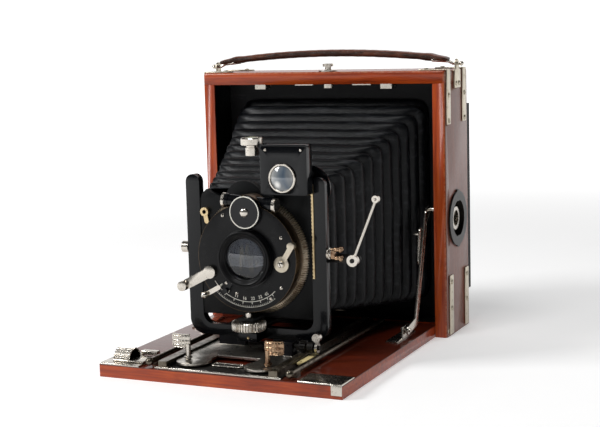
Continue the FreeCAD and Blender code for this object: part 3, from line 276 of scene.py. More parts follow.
case_tones = ((0.15, 0.015, 0.001), (0.34, 0.04, 0.002), (0.48, 0.075, 0.004))
case_wood_across = varnished_wood("case_wood_across", 0, *case_tones, True, 0.2)
case_wood_upright = varnished_wood("case_wood_upright", 2, *case_tones, True, 0.2)
bed_wood = varnished_wood("bed_wood", 0, *case_tones, False, 0.12)
print("wood finishes", case_wood_across.name, case_wood_upright.name, bed_wood.name)

# %% [markdown]
# ## Metal, enamel and painted finishes
# Old nickel isn't a mirror: its roughness wanders, brown tarnish sits in patches, and hair scratches cross
# it. The bronze is the same plate worn through to the brass below. Gloss enamel is nearly black with a
# smooth coat, and the lens board's paint is the same black with a fine tooth in it.

# %% Plated and painted metals
def plated(name, clean, tarnish, low, high, spread):
    """Clean metal with tarnish where slow noise is high; roughness follows the same noise."""
    metal = Finish(name, Metallic=1.0)
    patch = metal.noise(metal.place(), 330.0, 5.0, 0.62)
    cover = metal.between(patch, spread, spread + 0.22)
    hair = metal.noise(metal.place((300, 2600, 900)), 1.0, 3.0, 0.6)
    metal.drive(Base_Color=metal.mix(clean, tarnish, cover * 0.65),
                Roughness=low + (high - low) * patch + 0.12 * cover)
    return metal.bump(hair * 0.5 + patch * 0.3, 0.04, 0.0002)


def painted(name, colour, scuffed, low, high, coat, tooth):
    """Paint with dust in slow patches, roughness between low and high, and a grain as high as tooth."""
    paint = Finish(name, Coat_Weight=coat, Coat_Roughness=0.05, Coat_IOR=1.35, Specular_IOR_Level=0.16)
    dust = paint.noise(paint.place(), 130.0, 5.0, 0.65)
    grit = paint.noise(paint.place(), 2200.0, 3.0, 0.6)
    cover = paint.between(dust, 0.54, 0.75)
    paint.drive(Base_Color=paint.mix(colour, scuffed, cover * 0.7),
                Roughness=low + (high - low) * dust + 0.08 * grit)
    return paint.bump(grit, tooth, 0.0002)


nickel = plated("worn_nickel", (0.6, 0.56, 0.5), (0.26, 0.19, 0.12), 0.14, 0.34, 0.56)
strap_nickel = plated("strap_nickel", (0.56, 0.5, 0.4), (0.3, 0.24, 0.16), 0.26, 0.44, 0.54)
bronze = plated("worn_bronze", (0.4, 0.27, 0.17), (0.12, 0.045, 0.025), 0.16, 0.34, 0.44)
brass = plated("old_brass", (0.7, 0.55, 0.32), (0.3, 0.17, 0.07), 0.28, 0.5, 0.54)
rim_nickel = plated("rim_nickel", (0.44, 0.38, 0.3), (0.2, 0.14, 0.08), 0.24, 0.42, 0.46)
gun_metal = plated("gun_metal", (0.16, 0.14, 0.11), (0.05, 0.035, 0.02), 0.2, 0.4, 0.46)
enamel = painted("gloss_enamel", (0.002, 0.0025, 0.0035), (0.008, 0.009, 0.01), 0.1, 0.24, 0.4, 0.02)
board_paint = painted("board_paint", (0.0025, 0.003, 0.0035), (0.01, 0.01, 0.01), 0.3, 0.5, 0.0, 0.12)
shutter_paint = painted("shutter_paint", (0.003, 0.003, 0.0035), (0.012, 0.0115, 0.011), 0.24, 0.44, 0.05,
                        0.08)
dark_steel = painted("dark_steel", (0.01, 0.009, 0.008), (0.05, 0.042, 0.032), 0.2, 0.4, 0.2, 0.08)
white_paint = painted("white_paint", (0.78, 0.76, 0.68), (0.5, 0.46, 0.36), 0.4, 0.6, 0.0, 0.1)
ivory = painted("aged_ivory", (0.74, 0.61, 0.3), (0.42, 0.28, 0.1), 0.34, 0.55, 0.25, 0.16)
print("metals and paints done")

# %% [markdown]
# Two parts are painted and bare at once: the carriage is bare plate below and black where it rises to the
# standard, and the shutter's case is black in front with a worn brown wall. A mask on the place on the
# object splits each.

# %% Two-part finishes
def split_finish(name, bare, black, mask_of):
    """Bare metal where the mask is 1 and black paint where it is 0, with a wandering roughness."""
    both = Finish(name, Specular_IOR_Level=0.2)
    mask = mask_of(both)
    patch = both.noise(both.place(), 300.0, 4.0, 0.65)
    spotted = both.mix(bare, [c * 0.5 for c in bare], both.between(patch, 0.5, 0.68) * 0.7)
    both.drive(Base_Color=both.mix(black, spotted, mask), Metallic=mask, Roughness=0.16 + 0.3 * patch)
    return both.bump(patch, 0.08, 0.0002)


def off_axis(finish, limit):
    """1 where the distance from the lens's axis is over the limit."""
    return (finish.axis(0) ** 2.0 + (finish.axis(2) - lens_z * mm) ** 2.0) ** 0.5 > limit


carriage_finish = split_finish("carriage_finish", (0.6, 0.56, 0.5), (0.003, 0.003, 0.004),
                               lambda f: 1.0 - (f.axis(2) > 0.01035))
shutter_finish = split_finish("shutter_finish", (0.13, 0.09, 0.055), (0.0025, 0.0025, 0.003),
                              lambda f: off_axis(f, 0.02985))
print("two-part finishes", carriage_finish.name, shutter_finish.name)

# %% [markdown]
# ## Leather
# Leather's grain is cells between creases, which a Voronoi texture gives; the bellows' folds are rubbed
# grey. The handle is dark brown, and its faces that look up are painted a lighter reddish tone as painted
# light from above, so its tone follows how far a face looks up.

# %% Leather
def leather(name, colour, rubbed, low, high, cell, depth, rub_from, painted_top_light=None):
    """Creases where two Voronoi cells meet, and a rubbed colour in streaks of slow noise; the last colour, if
    given, is painted light on the faces that look up.
    """
    hide = Finish(name, Coat_Weight=0.04, Coat_Roughness=0.3, Specular_IOR_Level=0.17)
    crease = hide.node("ShaderNodeTexVoronoi", {"feature": "DISTANCE_TO_EDGE"},
                       {"Vector": hide.place(), "Scale": cell})
    streak = hide.noise(hide.place((60, 260, 260)), 1.0, 6.0, 0.7, 0.5)
    wear = hide.between(streak, rub_from, rub_from + 0.2)
    flat = hide.between(crease, 0.02, 0.2)
    shade = hide.mix(colour, rubbed, wear * 0.8)
    if painted_top_light:
        facing = hide.node("ShaderNodeSeparateXYZ", {}, {0: hide.node("ShaderNodeNewGeometry", {}, {}, 1)}, 2)
        # painted light from above: faces that look up take the lighter reddish colour
        shade = hide.mix(shade, painted_top_light, hide.between(facing, 0.55, 0.95))
    hide.drive(Base_Color=shade, Roughness=low + (high - low) * streak)
    return hide.bump(flat + streak * 0.8, depth, 0.0003)


bellows_leather = leather("bellows_leather", (0.003, 0.0035, 0.0045), (0.03, 0.032, 0.036), 0.26, 0.5,
                          900.0, 0.22, 0.5)
handle_leather = leather("handle_leather", (0.03, 0.013, 0.008), (0.13, 0.042, 0.02), 0.22, 0.46,
                         700.0, 0.3, 0.46, (0.15, 0.042, 0.02))
black_cloth = leather("black_covering", (0.01, 0.01, 0.011), (0.03, 0.03, 0.03), 0.5, 0.75,
                      1200.0, 0.4, 0.55)
print("leathers", bellows_leather.name, handle_leather.name, black_cloth.name)

# %% [markdown]
# ## Glass
# The taking lens is clear with a faint blue tint, and looks dark because of what stands behind it. The
# level's window is yellow-green, and the focusing screen is rough ground glass that lets only half of the
# light through.

# %% Glass
def glass(name, tint, rough, clear):
    """Clear glass: transmission and a hard surface, with faint smears in its roughness."""
    pane = Finish(name, Transmission_Weight=clear, IOR=1.52, Base_Color=(*tint, 1.0))
    smear = pane.noise(pane.place(), 220.0, 4.0, 0.6)
    pane.drive(Roughness=rough + 0.05 * smear)
    return pane.material


taking_glass = glass("taking_glass", (0.82, 0.86, 0.95), 0.0, 1.0)
level_glass = glass("level_glass", (0.75, 0.85, 0.5), 0.02, 0.8)
ground_glass = glass("ground_glass", (0.86, 0.9, 0.88), 0.55, 0.5)
print("glasses", taking_glass.name, level_glass.name, ground_glass.name)

# %% [markdown]
# ## The finishes go on the frame's nodes
# Most of the camera's shapes are already right, so each node only takes its finish. A table keeps this in
# one place.

# %% Finish every node
finishes = {
    case_wood_across: "case_top case_bottom",
    case_wood_upright: "case_left case_right",
    bed_wood: "bed_board",
    black_cloth: "rear_board back_frame bellows_rear_frame screen_frame bellows",
    brass: "board_latch",
    enamel: "u_frame hood_lid back_rails finder_hood finder_box air_cylinder aperture_pointer speed_dial "
            "finder_quadrant",
    board_paint: "lens_board",
    shutter_paint: "shutter_body lens_barrel",
    dark_steel: "track_plate tripod_dish focus_pinion sight_arm",
    gun_metal: "shutter_rim track_rails",
    nickel: "bed_lock_fittings hinge_rod bed_corner_plates handle_wires release_button bed_catch carriage "
            "pinch_tab_left pinch_tab_right lock_lever rise_wheel spirit_level cocking_lever release_lever "
            "selector_lever scale_strip strut_latch_left strut_latch_right struts tripod_bushes case_screws "
            "left_knob finder_lens sight_rod",
    strap_nickel: "corner_straps handle_lugs",
    bronze: "wing_clamp",
    ivory: "focus_scale",
    handle_leather: "handle_strap",
    taking_glass: "lens_glass",
    ground_glass: "ground_glass",
}
for finish, names in finishes.items():
    for name in names.split():
        for slot in frame["nodes"][name].material_slots:
            slot.material = finish
print("nodes finished", sum(len(names.split()) for names in finishes.values()))

# %% [markdown]
# ## Making pieces from arrays
# Every new piece is a grid: rows of points along it, columns round it. One function turns the grid's shape
# into faces, and one turns points and faces into a finished piece that rides on a body and may stand for a
# node.

# %% Points and faces into a piece
def grid_faces(rows, columns, closed=True):
    """Quads between neighbouring rows and columns; closed joins the last column to the first."""
    last = columns if closed else columns - 1
    row, column = np.meshgrid(np.arange(rows - 1), np.arange(last), indexing="ij")
    beside = (column + 1) % columns
    quads = np.stack([row * columns + column, row * columns + beside,
                      (row + 1) * columns + beside, (row + 1) * columns + column], -1)
    return quads.reshape(-1, 4)


def shape(name, parts, closed=True, smooth=True):
    """A mesh object from grids of points in millimetres, doubles merged, faces turned outwards."""
    points, faces, count = [], [], 0
    for part in parts:
        faces.append(grid_faces(part.shape[0], part.shape[1], closed) + count)
        points.append(part.reshape(-1, 3) * mm)
        count += part.shape[0] * part.shape[1]
    mesh = bpy.data.meshes.new(name)
    mesh.from_pydata(np.concatenate(points).tolist(), [], np.concatenate(faces).tolist())
    made = placed(name, mesh)
    tidy_mesh(mesh, smooth)
    return made


def tidy_mesh(mesh, smooth=True):
    """Merge points within 0.005 mm, drop faces with no area and turn the rest outwards."""
    work = bmesh.new()
    work.from_mesh(mesh)
    bmesh.ops.remove_doubles(work, verts=work.verts, dist=5e-6)
    bmesh.ops.dissolve_degenerate(work, dist=1e-6, edges=work.edges)
    bmesh.ops.recalc_face_normals(work, faces=work.faces)
    work.to_mesh(mesh)
    work.free()
    mesh.shade_smooth() if smooth else mesh.shade_flat()


def fit(piece, body, finish, slot, *nodes, sharp=None):
    """Give a piece its finish, its body and the nodes that it stands for; slot is not used."""
    piece.data.materials.clear()
    piece.data.materials.append(finish)
    if sharp is not None:
        piece.data.set_sharp_from_angle(angle=math.radians(sharp))
    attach(piece, body)
    if nodes:
        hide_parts(*nodes)
    print(piece.name, len(piece.data.vertices), "points on", body)
    return piece


print("a 3 by 4 grid has", len(grid_faces(3, 4)), "faces when it is closed")

# %% [markdown]
# ## Turned and sawn shapes
# A lathe carries a profile of (radius, height) round an axis. A rounded block pulls the points of a fine
# cube on to a smaller block grown by its edge radius. A softened copy is a node's own mesh, merged and
# bevelled.

# %% Lathe, rounded block and softened copy
def frame_on(axis):
    """Three directions: two across the axis and the axis itself."""
    axis = np.array(axis, float) / np.linalg.norm(axis)
    side = np.cross(axis, (0, 0, 1.0) if abs(axis[2]) < 0.9 else (1.0, 0, 0))
    side /= np.linalg.norm(side)
    return side, np.cross(axis, side), axis


def turned(centre, axis, profile, segments=48, ripple=None):
    """Point = centre + height along the axis + radius times the turning direction; ripple adds to radius."""
    first, second, along = frame_on(axis)
    radius, height = np.array(profile, float).T
    angle = np.linspace(0, 2 * math.pi, segments, endpoint=False)
    spread = radius[:, None] * np.ones(segments)
    if ripple is not None:
        spread = spread + ripple(angle)[None, :] * (radius[:, None] > 0.6 * radius.max())
    outwards = np.cos(angle)[None, :, None] * first + np.sin(angle)[None, :, None] * second
    return np.array(centre, float) + height[:, None, None] * along + spread[..., None] * outwards


forward, upward = (0, -1, 0), (0, 0, 1)


def block(low, high, radius, steps=4):
    """Point = nearest point of the inner block + radius times the way out, for six faces of a fine cube."""
    low, high = np.array(low, float), np.array(high, float)
    middle, half = (low + high) / 2, (high - low) / 2
    radius = min(radius, half.min())
    bend = np.tan(np.linspace(-math.pi / 4, math.pi / 4, steps * 2 + 1))
    faces = []
    for axis in range(3):
        for side in (-1, 1):
            across, along = np.meshgrid(bend, bend, indexing="ij")
            way = np.zeros(across.shape + (3,))
            way[..., axis] = side
            way[..., (axis + 1) % 3] = across
            way[..., (axis + 2) % 3] = along
            sign = np.sign(np.round(way, 6))
            way /= np.linalg.norm(way, axis=-1, keepdims=True)
            faces.append(middle + sign * (half - radius) + way * radius)
    return faces


def slotted_head(centre, axis, radius, height, angle):
    """Dome height on straight lines across the disc, cut down by the slot near the middle line."""
    lines = np.array([-1, -0.9, -0.7, -0.45, -0.17, -0.169, 0.169, 0.17, 0.45, 0.7, 0.9, 1.0])
    u, v = np.meshgrid(lines, np.linspace(-1, 1, 11), indexing="ij")
    across, along = u, v * np.sqrt(np.clip(1 - u ** 2, 0.0, 1))
    rise = height * (0.45 + 0.55 * np.sqrt(np.clip(1 - across ** 2 - along ** 2, 0, 1)))
    rise = np.where(np.abs(u) < 0.1695, rise - height * 0.55, rise)
    first, second, way = frame_on(axis)
    one = math.cos(angle) * first + math.sin(angle) * second
    two = -math.sin(angle) * first + math.cos(angle) * second
    skirt = np.array(centre) + radius * (across[..., None] * one + along[..., None] * two)
    top = skirt + rise[..., None] * way
    return np.concatenate([skirt[:, :1], top, skirt[:, -1:]], axis=1)


def softened(node, width, segments, keep=None):
    """A copy of a node's mesh, merged and bevelled; keep picks edges by their middle, in mm."""
    mesh = frame["nodes"][node].data.copy()
    work = bmesh.new()
    work.from_mesh(mesh)
    bmesh.ops.remove_doubles(work, verts=work.verts, dist=2e-6)
    bmesh.ops.dissolve_limit(work, angle_limit=math.radians(0.5), verts=work.verts, edges=work.edges)
    edges = [e for e in work.edges if len(e.link_faces) == 2 and e.calc_face_angle(0) > math.radians(35)]
    if keep is not None:
        edges = [e for e in edges if keep(np.array((e.verts[0].co + e.verts[1].co) / 2) / mm)]
    bmesh.ops.bevel(work, geom=edges, offset=width * mm, offset_type="OFFSET", segments=segments, profile=0.5,
                    affect="EDGES", clamp_overlap=True)
    bmesh.ops.triangulate(work, faces=[f for f in work.faces if len(f.verts) > 4])
    work.to_mesh(mesh)
    work.free()
    mesh.name = node + "_softened"
    mesh.shade_smooth()
    return placed(mesh.name, mesh)


print("a rounded block has", len(block((0, 0, 0), (1, 1, 1), 0.2)), "sides")

# %% [markdown]
# ## Wooden boards with worn corners
# The boards' outer edges are rounded by planing and by years of hands. Only edges on the case's outside are
# bevelled, so the joints between two boards stay closed. The bed's edges are rounded in the same way.

# %% Soften the boards
def case_outer_edge(point):
    """True on the case's outside, where the edge is in front, at the back or along an upper corner."""
    x, y, z = abs(point[0]), point[1], point[2]
    return (x > 79.9 or z > 159.9) and (y < 0.1 or y > 43.9 or (x > 79.9 and z > 159.9))


for board, wood in (("case_top", case_wood_across), ("case_left", case_wood_upright),
                    ("case_right", case_wood_upright)):
    fit(softened(board, 1.3, 4, case_outer_edge), "case", wood, "case_wood", board, sharp=50)
made = softened("bed_board", 0.9, 3, lambda p: p[1] < -20)
fit(made, "case", bed_wood, "bed_wood", "bed_board", sharp=50)

# %% [markdown]
# ## Bevelled metal and enamel
# Stamped and cast parts catch the light along their edges, so each takes a small bevel. The standard is a
# bent half-round bar, so its bevel is almost as wide as the bar is deep.

# %% Soften the metal parts
for node, body, finish, slot, width, segments in (
        ("corner_straps", "case", strap_nickel, "nickel", 0.35, 2),
        ("handle_lugs", "case", strap_nickel, "nickel", 0.35, 2),
        ("bed_corner_plates", "case", nickel, "nickel", 0.25, 2),
        ("struts", "case", nickel, "nickel", 0.2, 2),
        ("track_plate", "case", dark_steel, "black_enamel", 0.2, 2),
        ("carriage", "standard", carriage_finish, "nickel", 0.35, 2),
        ("sight_arm", "standard", dark_steel, "black_enamel", 0.25, 2),
        ("u_frame", "standard", enamel, "black_enamel", 1.7, 4),
        ("lens_board", "lens_board", board_paint, "black_board", 0.3, 2),
        ("finder_box", "finder", enamel, "black_enamel", 0.5, 3),
        ("finder_hood", "finder_hood", enamel, "black_enamel", 0.2, 2),
        ("focus_scale", "case", ivory, "ivory", 0.3, 2),
        ("cocking_lever", "cocking_lever", nickel, "nickel", 0.25, 2),
        ("selector_lever", "selector_lever", strap_nickel, "nickel", 0.25, 2),
        ("strut_latch_right", "strut_latch_right", nickel, "nickel", 0.4, 2),
        ("strut_latch_left", "strut_latch_left", nickel, "nickel", 0.4, 2),
        ("lens_barrel", "lens_board", shutter_paint, "black_enamel", 0.3, 2),
        ("shutter_body", "lens_board", shutter_finish, "black_enamel", 0.6, 3)):
    fit(softened(node, width, segments), body, finish, slot, node, sharp=40)

# %% [markdown]
# ## The bellows
# The bellows is one leather tube with a square mouth at the back and a smaller one in front. Its sides fold
# in and out; at each corner the fold of one side meets the gap of the next, which gives the row of small
# lobes. One formula makes it: a rounded rectangle that shrinks towards the front, pushed in and out by a
# folded wave whose phase slips by half a fold round each corner. The last fold is a piece of its own.

# %% Fold the bellows
bellows_rear_y, bellows_length = 21.6, 110.3


def folded_leather(name, start, end, rows, folds_from, folds_to):
    """Point = rounded rectangle at y + way out times fold wave; phase slips half a fold from top to side."""
    share = np.linspace(start, end, rows)[:, None]
    step = np.linspace(0, 2 * math.pi, 300, endpoint=False)[None, :]
    half_x = 63.0 + (31.0 - 63.0) * share
    top = 142.5 + (99.5 - 142.5) * (1 - (1 - share) ** 1.35)
    bottom = 19.0 + (31.0 - 19.0) * share
    middle, half_z = (top + bottom) / 2, (top - bottom) / 2
    squareness = 16.0
    wide, high = np.abs(np.cos(step)), np.abs(np.sin(step))
    size = (wide ** squareness + high ** squareness) ** (-1 / squareness)
    out_x, out_z = np.cos(step) * size, np.sin(step) * size
    side_turn = 0.5 + 0.5 * np.tanh((wide - high) * 16.0)
    corner = np.exp(-(np.abs(wide - high) * 6.0) ** 2)
    folds = folds_from + (folds_to - folds_from) * (share - start) / (end - start)
    phase = folds * 2 * math.pi + math.pi * side_turn
    wave = np.sin(phase) + 0.12 * np.sin(3 * phase + 0.6)
    sharp = np.sign(wave) * np.abs(wave) ** 0.8
    crumple = (np.sin(share * 61 + 5 * out_x) * np.sin(9 * step + 17 * share) * 0.22
               + np.sin(share * 143 + 3 * step) * 0.12)
    depth = (1.5 + 0.5 * side_turn + 1.5 * corner) * sharp + crumple * (0.6 + 1.4 * corner) - corner
    edge = np.clip(np.minimum(share, 1 - share) * 26, 0, 1)
    length = np.hypot(out_x, out_z)
    x = half_x * out_x + depth * edge * out_x / length
    z = middle + half_z * out_z + depth * edge * out_z / length
    y = bellows_rear_y - bellows_length * share + 1.5 * np.cos(phase) * edge * (1 - 0.4 * corner)
    inner = np.stack([x - 0.9 * out_x, y, z - 0.9 * out_z], -1)[::-1]
    outer = np.stack([x, y, z], -1)
    return shape(name, [np.concatenate([outer, inner, outer[:1]])])


split = 0.955
main_bellows = folded_leather("bellows_folds", 0.0, split, 146, 0.0, 12.4)
fit(main_bellows, "case", bellows_leather, "bellows_leather", "bellows")
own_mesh(main_bellows)
front_bellows = folded_leather("bellows_front_fold", split, 1.0, 14, 12.4, 13.0)
front_bellows.data.materials.append(bellows_leather)
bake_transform(front_bellows)
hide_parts("bellows")
print("bellows", len(main_bellows.data.vertices), "points and", len(front_bellows.data.vertices))

# %% [markdown]
# ## The handle
# The handle is a thick strip of leather bent over two wire loops. Its cross-section is a flat oval that
# gets narrower and thicker towards the middle, and it spreads flat at its ends. It is carried along a
# shallow arch, and its ends close.

# %% Bend the handle
def handle_shape():
    """Point = arch point + oval across it; half width 5.9 at the ends to 4.5, half thickness up to 2.4."""
    along = np.linspace(-1, 1, 121)[:, None]
    turn = np.linspace(0, 2 * math.pi, 40, endpoint=False)[None, :]
    x = 77.0 * along - 1.0
    crown = 165.6 + 5.2 * np.cos(along * math.pi / 2) ** 0.75
    slope = np.gradient(crown[:, 0], x[:, 0])[:, None]
    half_width = 4.5 + 1.4 * np.abs(along) ** 3
    half_thick = 2.2 - 0.9 * np.abs(along) ** 6 + 0.5 * np.exp(-((np.abs(along) - 0.84) / 0.05) ** 2)
    end = np.sqrt(np.clip(1 - np.clip((np.abs(along) - 0.97) / 0.03, 0, 1) ** 2, 0, 1))
    oval_y = np.sign(np.cos(turn)) * np.abs(np.cos(turn)) ** 0.7
    oval_z = np.sign(np.sin(turn)) * np.abs(np.sin(turn)) ** 0.75
    wave = 1 + 0.03 * np.sin(along * 31) * np.sin(turn * 2) + 0.02 * np.sin(along * 67 + turn)
    y = 22.0 + half_width * oval_y * end * wave
    lift = half_thick * oval_z * end * wave
    normal = np.stack([-slope, np.ones_like(slope)], -1) / np.hypot(slope, 1)[..., None]
    return np.stack([x + lift * normal[..., 0], y, crown + lift * normal[..., 1]], -1)


strap = shape("handle_leather_strap", [handle_shape()])
fit(strap, "handle", handle_leather, "handle_leather", "handle_strap")

# %% [markdown]
# ## Milled and toothed parts
# The rising front's wheel is coarse-milled so that a finger grips it, and the shutter's rim has fine teeth.
# Both are a turned profile whose radius is rippled: a rounded square wave of the angle.

# %% Mill the wheel and the rim
def milling(teeth, depth):
    """Ripple = depth times a flattened sine of the angle times the number of teeth."""
    return lambda angle: depth * np.clip(1.8 * np.sin(angle * teeth), -1, 1)


profile = [(0, 0), (8.6, 0), (9.1, 0.5), (9.1, 4.5), (8.6, 5.0), (4.2, 5.0), (4.0, 4.2), (0, 4.2)]
wheel = turned((0, -104.5, 22.5), upward, profile, 36 * 8, milling(36, 0.4))
screw = turned((0, -104.5, 16.6), upward, [(0, 0), (1.5, 0), (1.5, 15.1), (1.1, 15.5), (0, 15.5)], 24)
for name, grid in (("rise_wheel_milled", wheel), ("rise_screw", screw)):
    fit(shape(name, [grid]), "rise_wheel", nickel, "nickel", "rise_wheel", sharp=35)
profile = [(29.0, 0), (32.5, 0), (32.6, 0.4), (32.6, 1.0), (30.4, 2.95), (29.0, 2.95), (29.0, 0)]
rim = turned((0, -93.25, lens_z), forward, profile, 150 * 6, milling(150, 0.4))
fit(shape("rim_toothed", [rim]), "lens_board", rim_nickel, "nickel", "shutter_rim", sharp=35)

# %% [markdown]
# ## The lens
# Behind the front glass a black barrel narrows in steps, and a second element at its foot carries a
# painted reflection: dark, turning blue towards its edge, with a faint painted warm band of window light.
# The element is a shallow dome, and the barrel's steps are one turned profile.

# %% Inner element, barrel and finder lens
def painted_reflection_glass(name, centre, edge, reach):
    """Painted reflection of dark glass seen into: colour goes from centre to edge with the distance from the
    lens's axis, and a warm band is painted near the middle.
    """
    dark = Finish(name, Roughness=0.2, Specular_IOR_Level=0.12)
    off_middle = (dark.axis(0) ** 2.0 + (dark.axis(2) - lens_z * mm) ** 2.0) ** 0.5
    streak = dark.noise(dark.place((420, 1, 50)), 1.0, 2.0, 0.5, 0.4)
    # painted reflection: warm dark to blue towards the edge, and a painted warm band of window light
    painted_warm_band = dark.between(streak, 0.5, 0.62) * (1.0 - dark.between(off_middle, 0.004, reach))
    seen = dark.mix(centre, edge, dark.between(off_middle, 0.0, reach))
    dark.drive(Base_Color=dark.mix(seen, (0.07, 0.055, 0.03), painted_warm_band))
    return dark.material


def dome(centre, axis, radius, rise, segments=48):
    """Height falls from rise to zero as 1 minus the square of the share of the radius."""
    share = np.linspace(0, 1, 13)
    return turned(centre, axis, np.stack([radius * share, rise * (1 - share ** 2)], -1), segments)


inner_painted_reflection = painted_reflection_glass("inner_element", (0.016, 0.014, 0.009), (0.002, 0.006, 0.014), 0.009)
made = shape("inner_element", [dome((0, -101.2, lens_z), forward, 10.9, 2.2)])
fit(made, "lens_board", inner_painted_reflection, "lens_glass")
steps = [(15.4, 0), (15.4, 9.2), (14.6, 9.6), (13.9, 9.6), (13.7, 8.9), (13.0, 8.9), (12.8, 8.3), (12.1, 8.3),
         (11.9, 7.6), (11.35, 7.0), (11.35, 0), (15.4, 0)]
made = shape("barrel_rings", [turned((0, -99.7, lens_z), forward, steps, 96)])
fit(made, "lens_board", shutter_paint, "black_enamel", "lens_barrel", sharp=30)
finder_centre = np.array((21.8, -99.8, 106.9))
ring = [(8.0, 0), (8.0, 2.9), (7.7, 3.35), (7.1, 3.35), (6.8, 3.0), (6.8, 0), (8.0, 0)]
made = shape("finder_lens_ring", [turned(finder_centre, forward, ring, 64)])
fit(made, "finder", nickel, "nickel", "finder_lens", sharp=30)


def finder_glass_painted_reflection():
    """Pale glass with a painted reflection, a cloud from dark blue to grey, and a small painted highlight low
    on the left.
    """
    pane = Finish("finder_glass", Coat_Weight=1.0, Coat_Roughness=0.03, Roughness=0.12)
    # painted reflection: a cloud from dark blue to grey
    reflection_cloud = pane.noise(pane.place((70, 70, 40)), 1.0, 3.0, 0.5, 0.6)
    stops = [(0.3, (0.05, 0.08, 0.12)), (0.68, (0.34, 0.34, 0.33)), (0.5, (0.15, 0.17, 0.19))]
    colour = pane.ramp(reflection_cloud, stops)
    # painted highlight: a bright spot low on the left
    highlight_x, highlight_z = pane.axis(0) - 0.0195, pane.axis(2) - 0.1035
    painted_highlight = 1.0 - pane.between((highlight_x ** 2.0 + highlight_z ** 2.0) ** 0.5, 0.0004, 0.0028)
    pane.drive(Base_Color=pane.mix(colour, (0.9, 0.88, 0.84), painted_highlight * 0.85))
    return pane.material


made = shape("finder_lens_glass", [dome(finder_centre + (0, -2.6, 0), forward, 7.0, 2.0)])
fit(made, "finder", finder_glass_painted_reflection(), "lens_glass", "finder_lens")

# %% [markdown]
# ## The speed dial and the scales
# The dial is a black disc with a white ring painted near its rim and a domed nickel screw. Under the lens
# two thin arcs carry the stops, in our own plain figures. Painted lines are thin strips laid a hair above
# the black.

# %% Dial, arcs, ticks and figures
dial = (1.1, -105.65, 88.4)
disc = [(0, 0), (8.8, 0), (9.3, 0.5), (9.3, 2.1), (8.9, 2.5), (0, 2.5)]
line = [(8.35, 2.5), (8.45, 2.62), (8.85, 2.62), (8.95, 2.5), (8.35, 2.5)]
knob = [(0, 2.4), (2.5, 2.4), (2.5, 2.9), (2.1, 3.5), (1.2, 3.9), (0, 4.05)]
for name, profile, count, finish, slot, nodes, sharp in (
        ("dial_disc", disc, 72, enamel, "black_enamel", ("speed_dial",), 30),
        ("dial_ring", line, 96, white_paint, "ivory", (), 30),
        ("dial_screw", knob, 40, nickel, "nickel", (), 50)):
    fit(shape(name, [turned(dial, forward, profile, count)]), "speed_dial", finish, slot, *nodes, sharp=sharp)

face_y = -104.78


def arc_strip(radius, width, start, end, count=90):
    """Four corners of a thin strip carried round an arc of the lens's axis, angles in degrees."""
    angle = np.radians(np.linspace(start, end, count))[:, None]
    reach = np.array([radius - width / 2, radius + width / 2, radius + width / 2, radius - width / 2])
    y = np.array([0.05, 0.05, -0.06, -0.06]) + face_y
    return np.stack([reach * np.cos(angle), y + 0 * angle, lens_z + reach * np.sin(angle)], -1)


def ticks(radii, angles, width):
    """Short strips along a radius, one for each angle."""
    strips = []
    for angle in np.radians(angles):
        out = np.array((math.cos(angle), math.sin(angle)))
        side = np.array((-out[1], out[0]))
        corner = [out * r + side * s * width / 2 for r in radii for s in (-1, 1)]
        flat = [corner[0], corner[1], corner[1], corner[0]], [corner[2], corner[3], corner[3], corner[2]]
        lift = (0.05, 0.05, -0.06, -0.06)
        rows = [[(p[0], face_y + h, lens_z + p[1]) for p, h in zip(row, lift)] for row in flat]
        strips.append(np.array(rows))
    return strips


arcs = [arc_strip(24.2, 0.3, -146, -46), arc_strip(27.3, 0.16, -140, -52)]
arcs += ticks((24.3, 25.6), [-138, -124, -110, -97, -84, -72, -61, -52], 0.3)
arcs += ticks((26.4, 27.3), np.linspace(-138, -53, 35), 0.16)
fit(shape("stop_arcs", arcs, smooth=False), "lens_board", white_paint, "ivory")


def figure(text, angle, radius, size):
    """A plain figure, made a mesh, stood on the shutter's face with its foot towards the lens's rim."""
    curve = bpy.data.curves.new("figure_" + text, "FONT")
    curve.body, curve.size, curve.align_x, curve.extrude = text, size, "CENTER", 0.06
    made = placed(curve.name, curve)
    bpy.context.view_layer.update()
    mesh = bpy.data.meshes.new_from_object(made)
    bpy.data.objects.remove(made)
    angle = math.radians(angle)
    foot = (radius * math.cos(angle), face_y, lens_z + radius * math.sin(angle))
    mesh.transform(Matrix.Scale(mm, 4) @ Matrix.Translation(foot)
                   @ Matrix.Rotation(-angle - math.pi / 2, 4, "Y") @ Matrix.Rotation(math.pi / 2, 4, "X"))
    return mesh


def joined(name, meshes):
    """One object from several meshes."""
    work = bmesh.new()
    for mesh in meshes:
        work.from_mesh(mesh)
    whole = bpy.data.meshes.new(name)
    work.to_mesh(whole)
    work.free()
    return placed(name, whole)


stops = zip(("6", "8", "11", "16", "22", "32", "45"), (-136, -122, -108, -95, -82, -70, -59))
figures = joined("stop_figures", [figure(text, angle, 23.2, 2.5) for text, angle in stops])
fit(figures, "lens_board", white_paint, "ivory")

# %% [markdown]
# ## Small trim
# Nickel rings end the air cylinder, small screws hold the shutter's front, a bright strip edges the bed's
# plate, and a wire loop lies round its slot. The spirit level is a capped nickel pot. These are turned or
# are rounded blocks.

# %% Rings, screws, strip, loop and level
start, end = np.array((-15.0, -100.8, 94.1)), np.array((17.3, -100.8, 91.8))
way = (end - start) / np.linalg.norm(end - start)
collar = [(0, 0), (3.9, 0), (4.25, 0.3), (4.25, 1.9), (3.9, 2.2), (0, 2.2)]
rings = [turned(start - way * 0.3, way, collar, 40), turned(end - way * 1.9, way, collar, 40)]
fit(shape("cylinder_rings", rings), "lens_board", nickel, "nickel", sharp=40)


def small_screws(name, places, radius, body, finish):
    """Slotted heads that face the front, each with its slot turned differently."""
    parts = [slotted_head(place, forward, radius, 0.7, 0.5 + 1.3 * k) for k, place in enumerate(places)]
    return fit(shape(name, parts, closed=False), body, finish, "nickel", sharp=30)


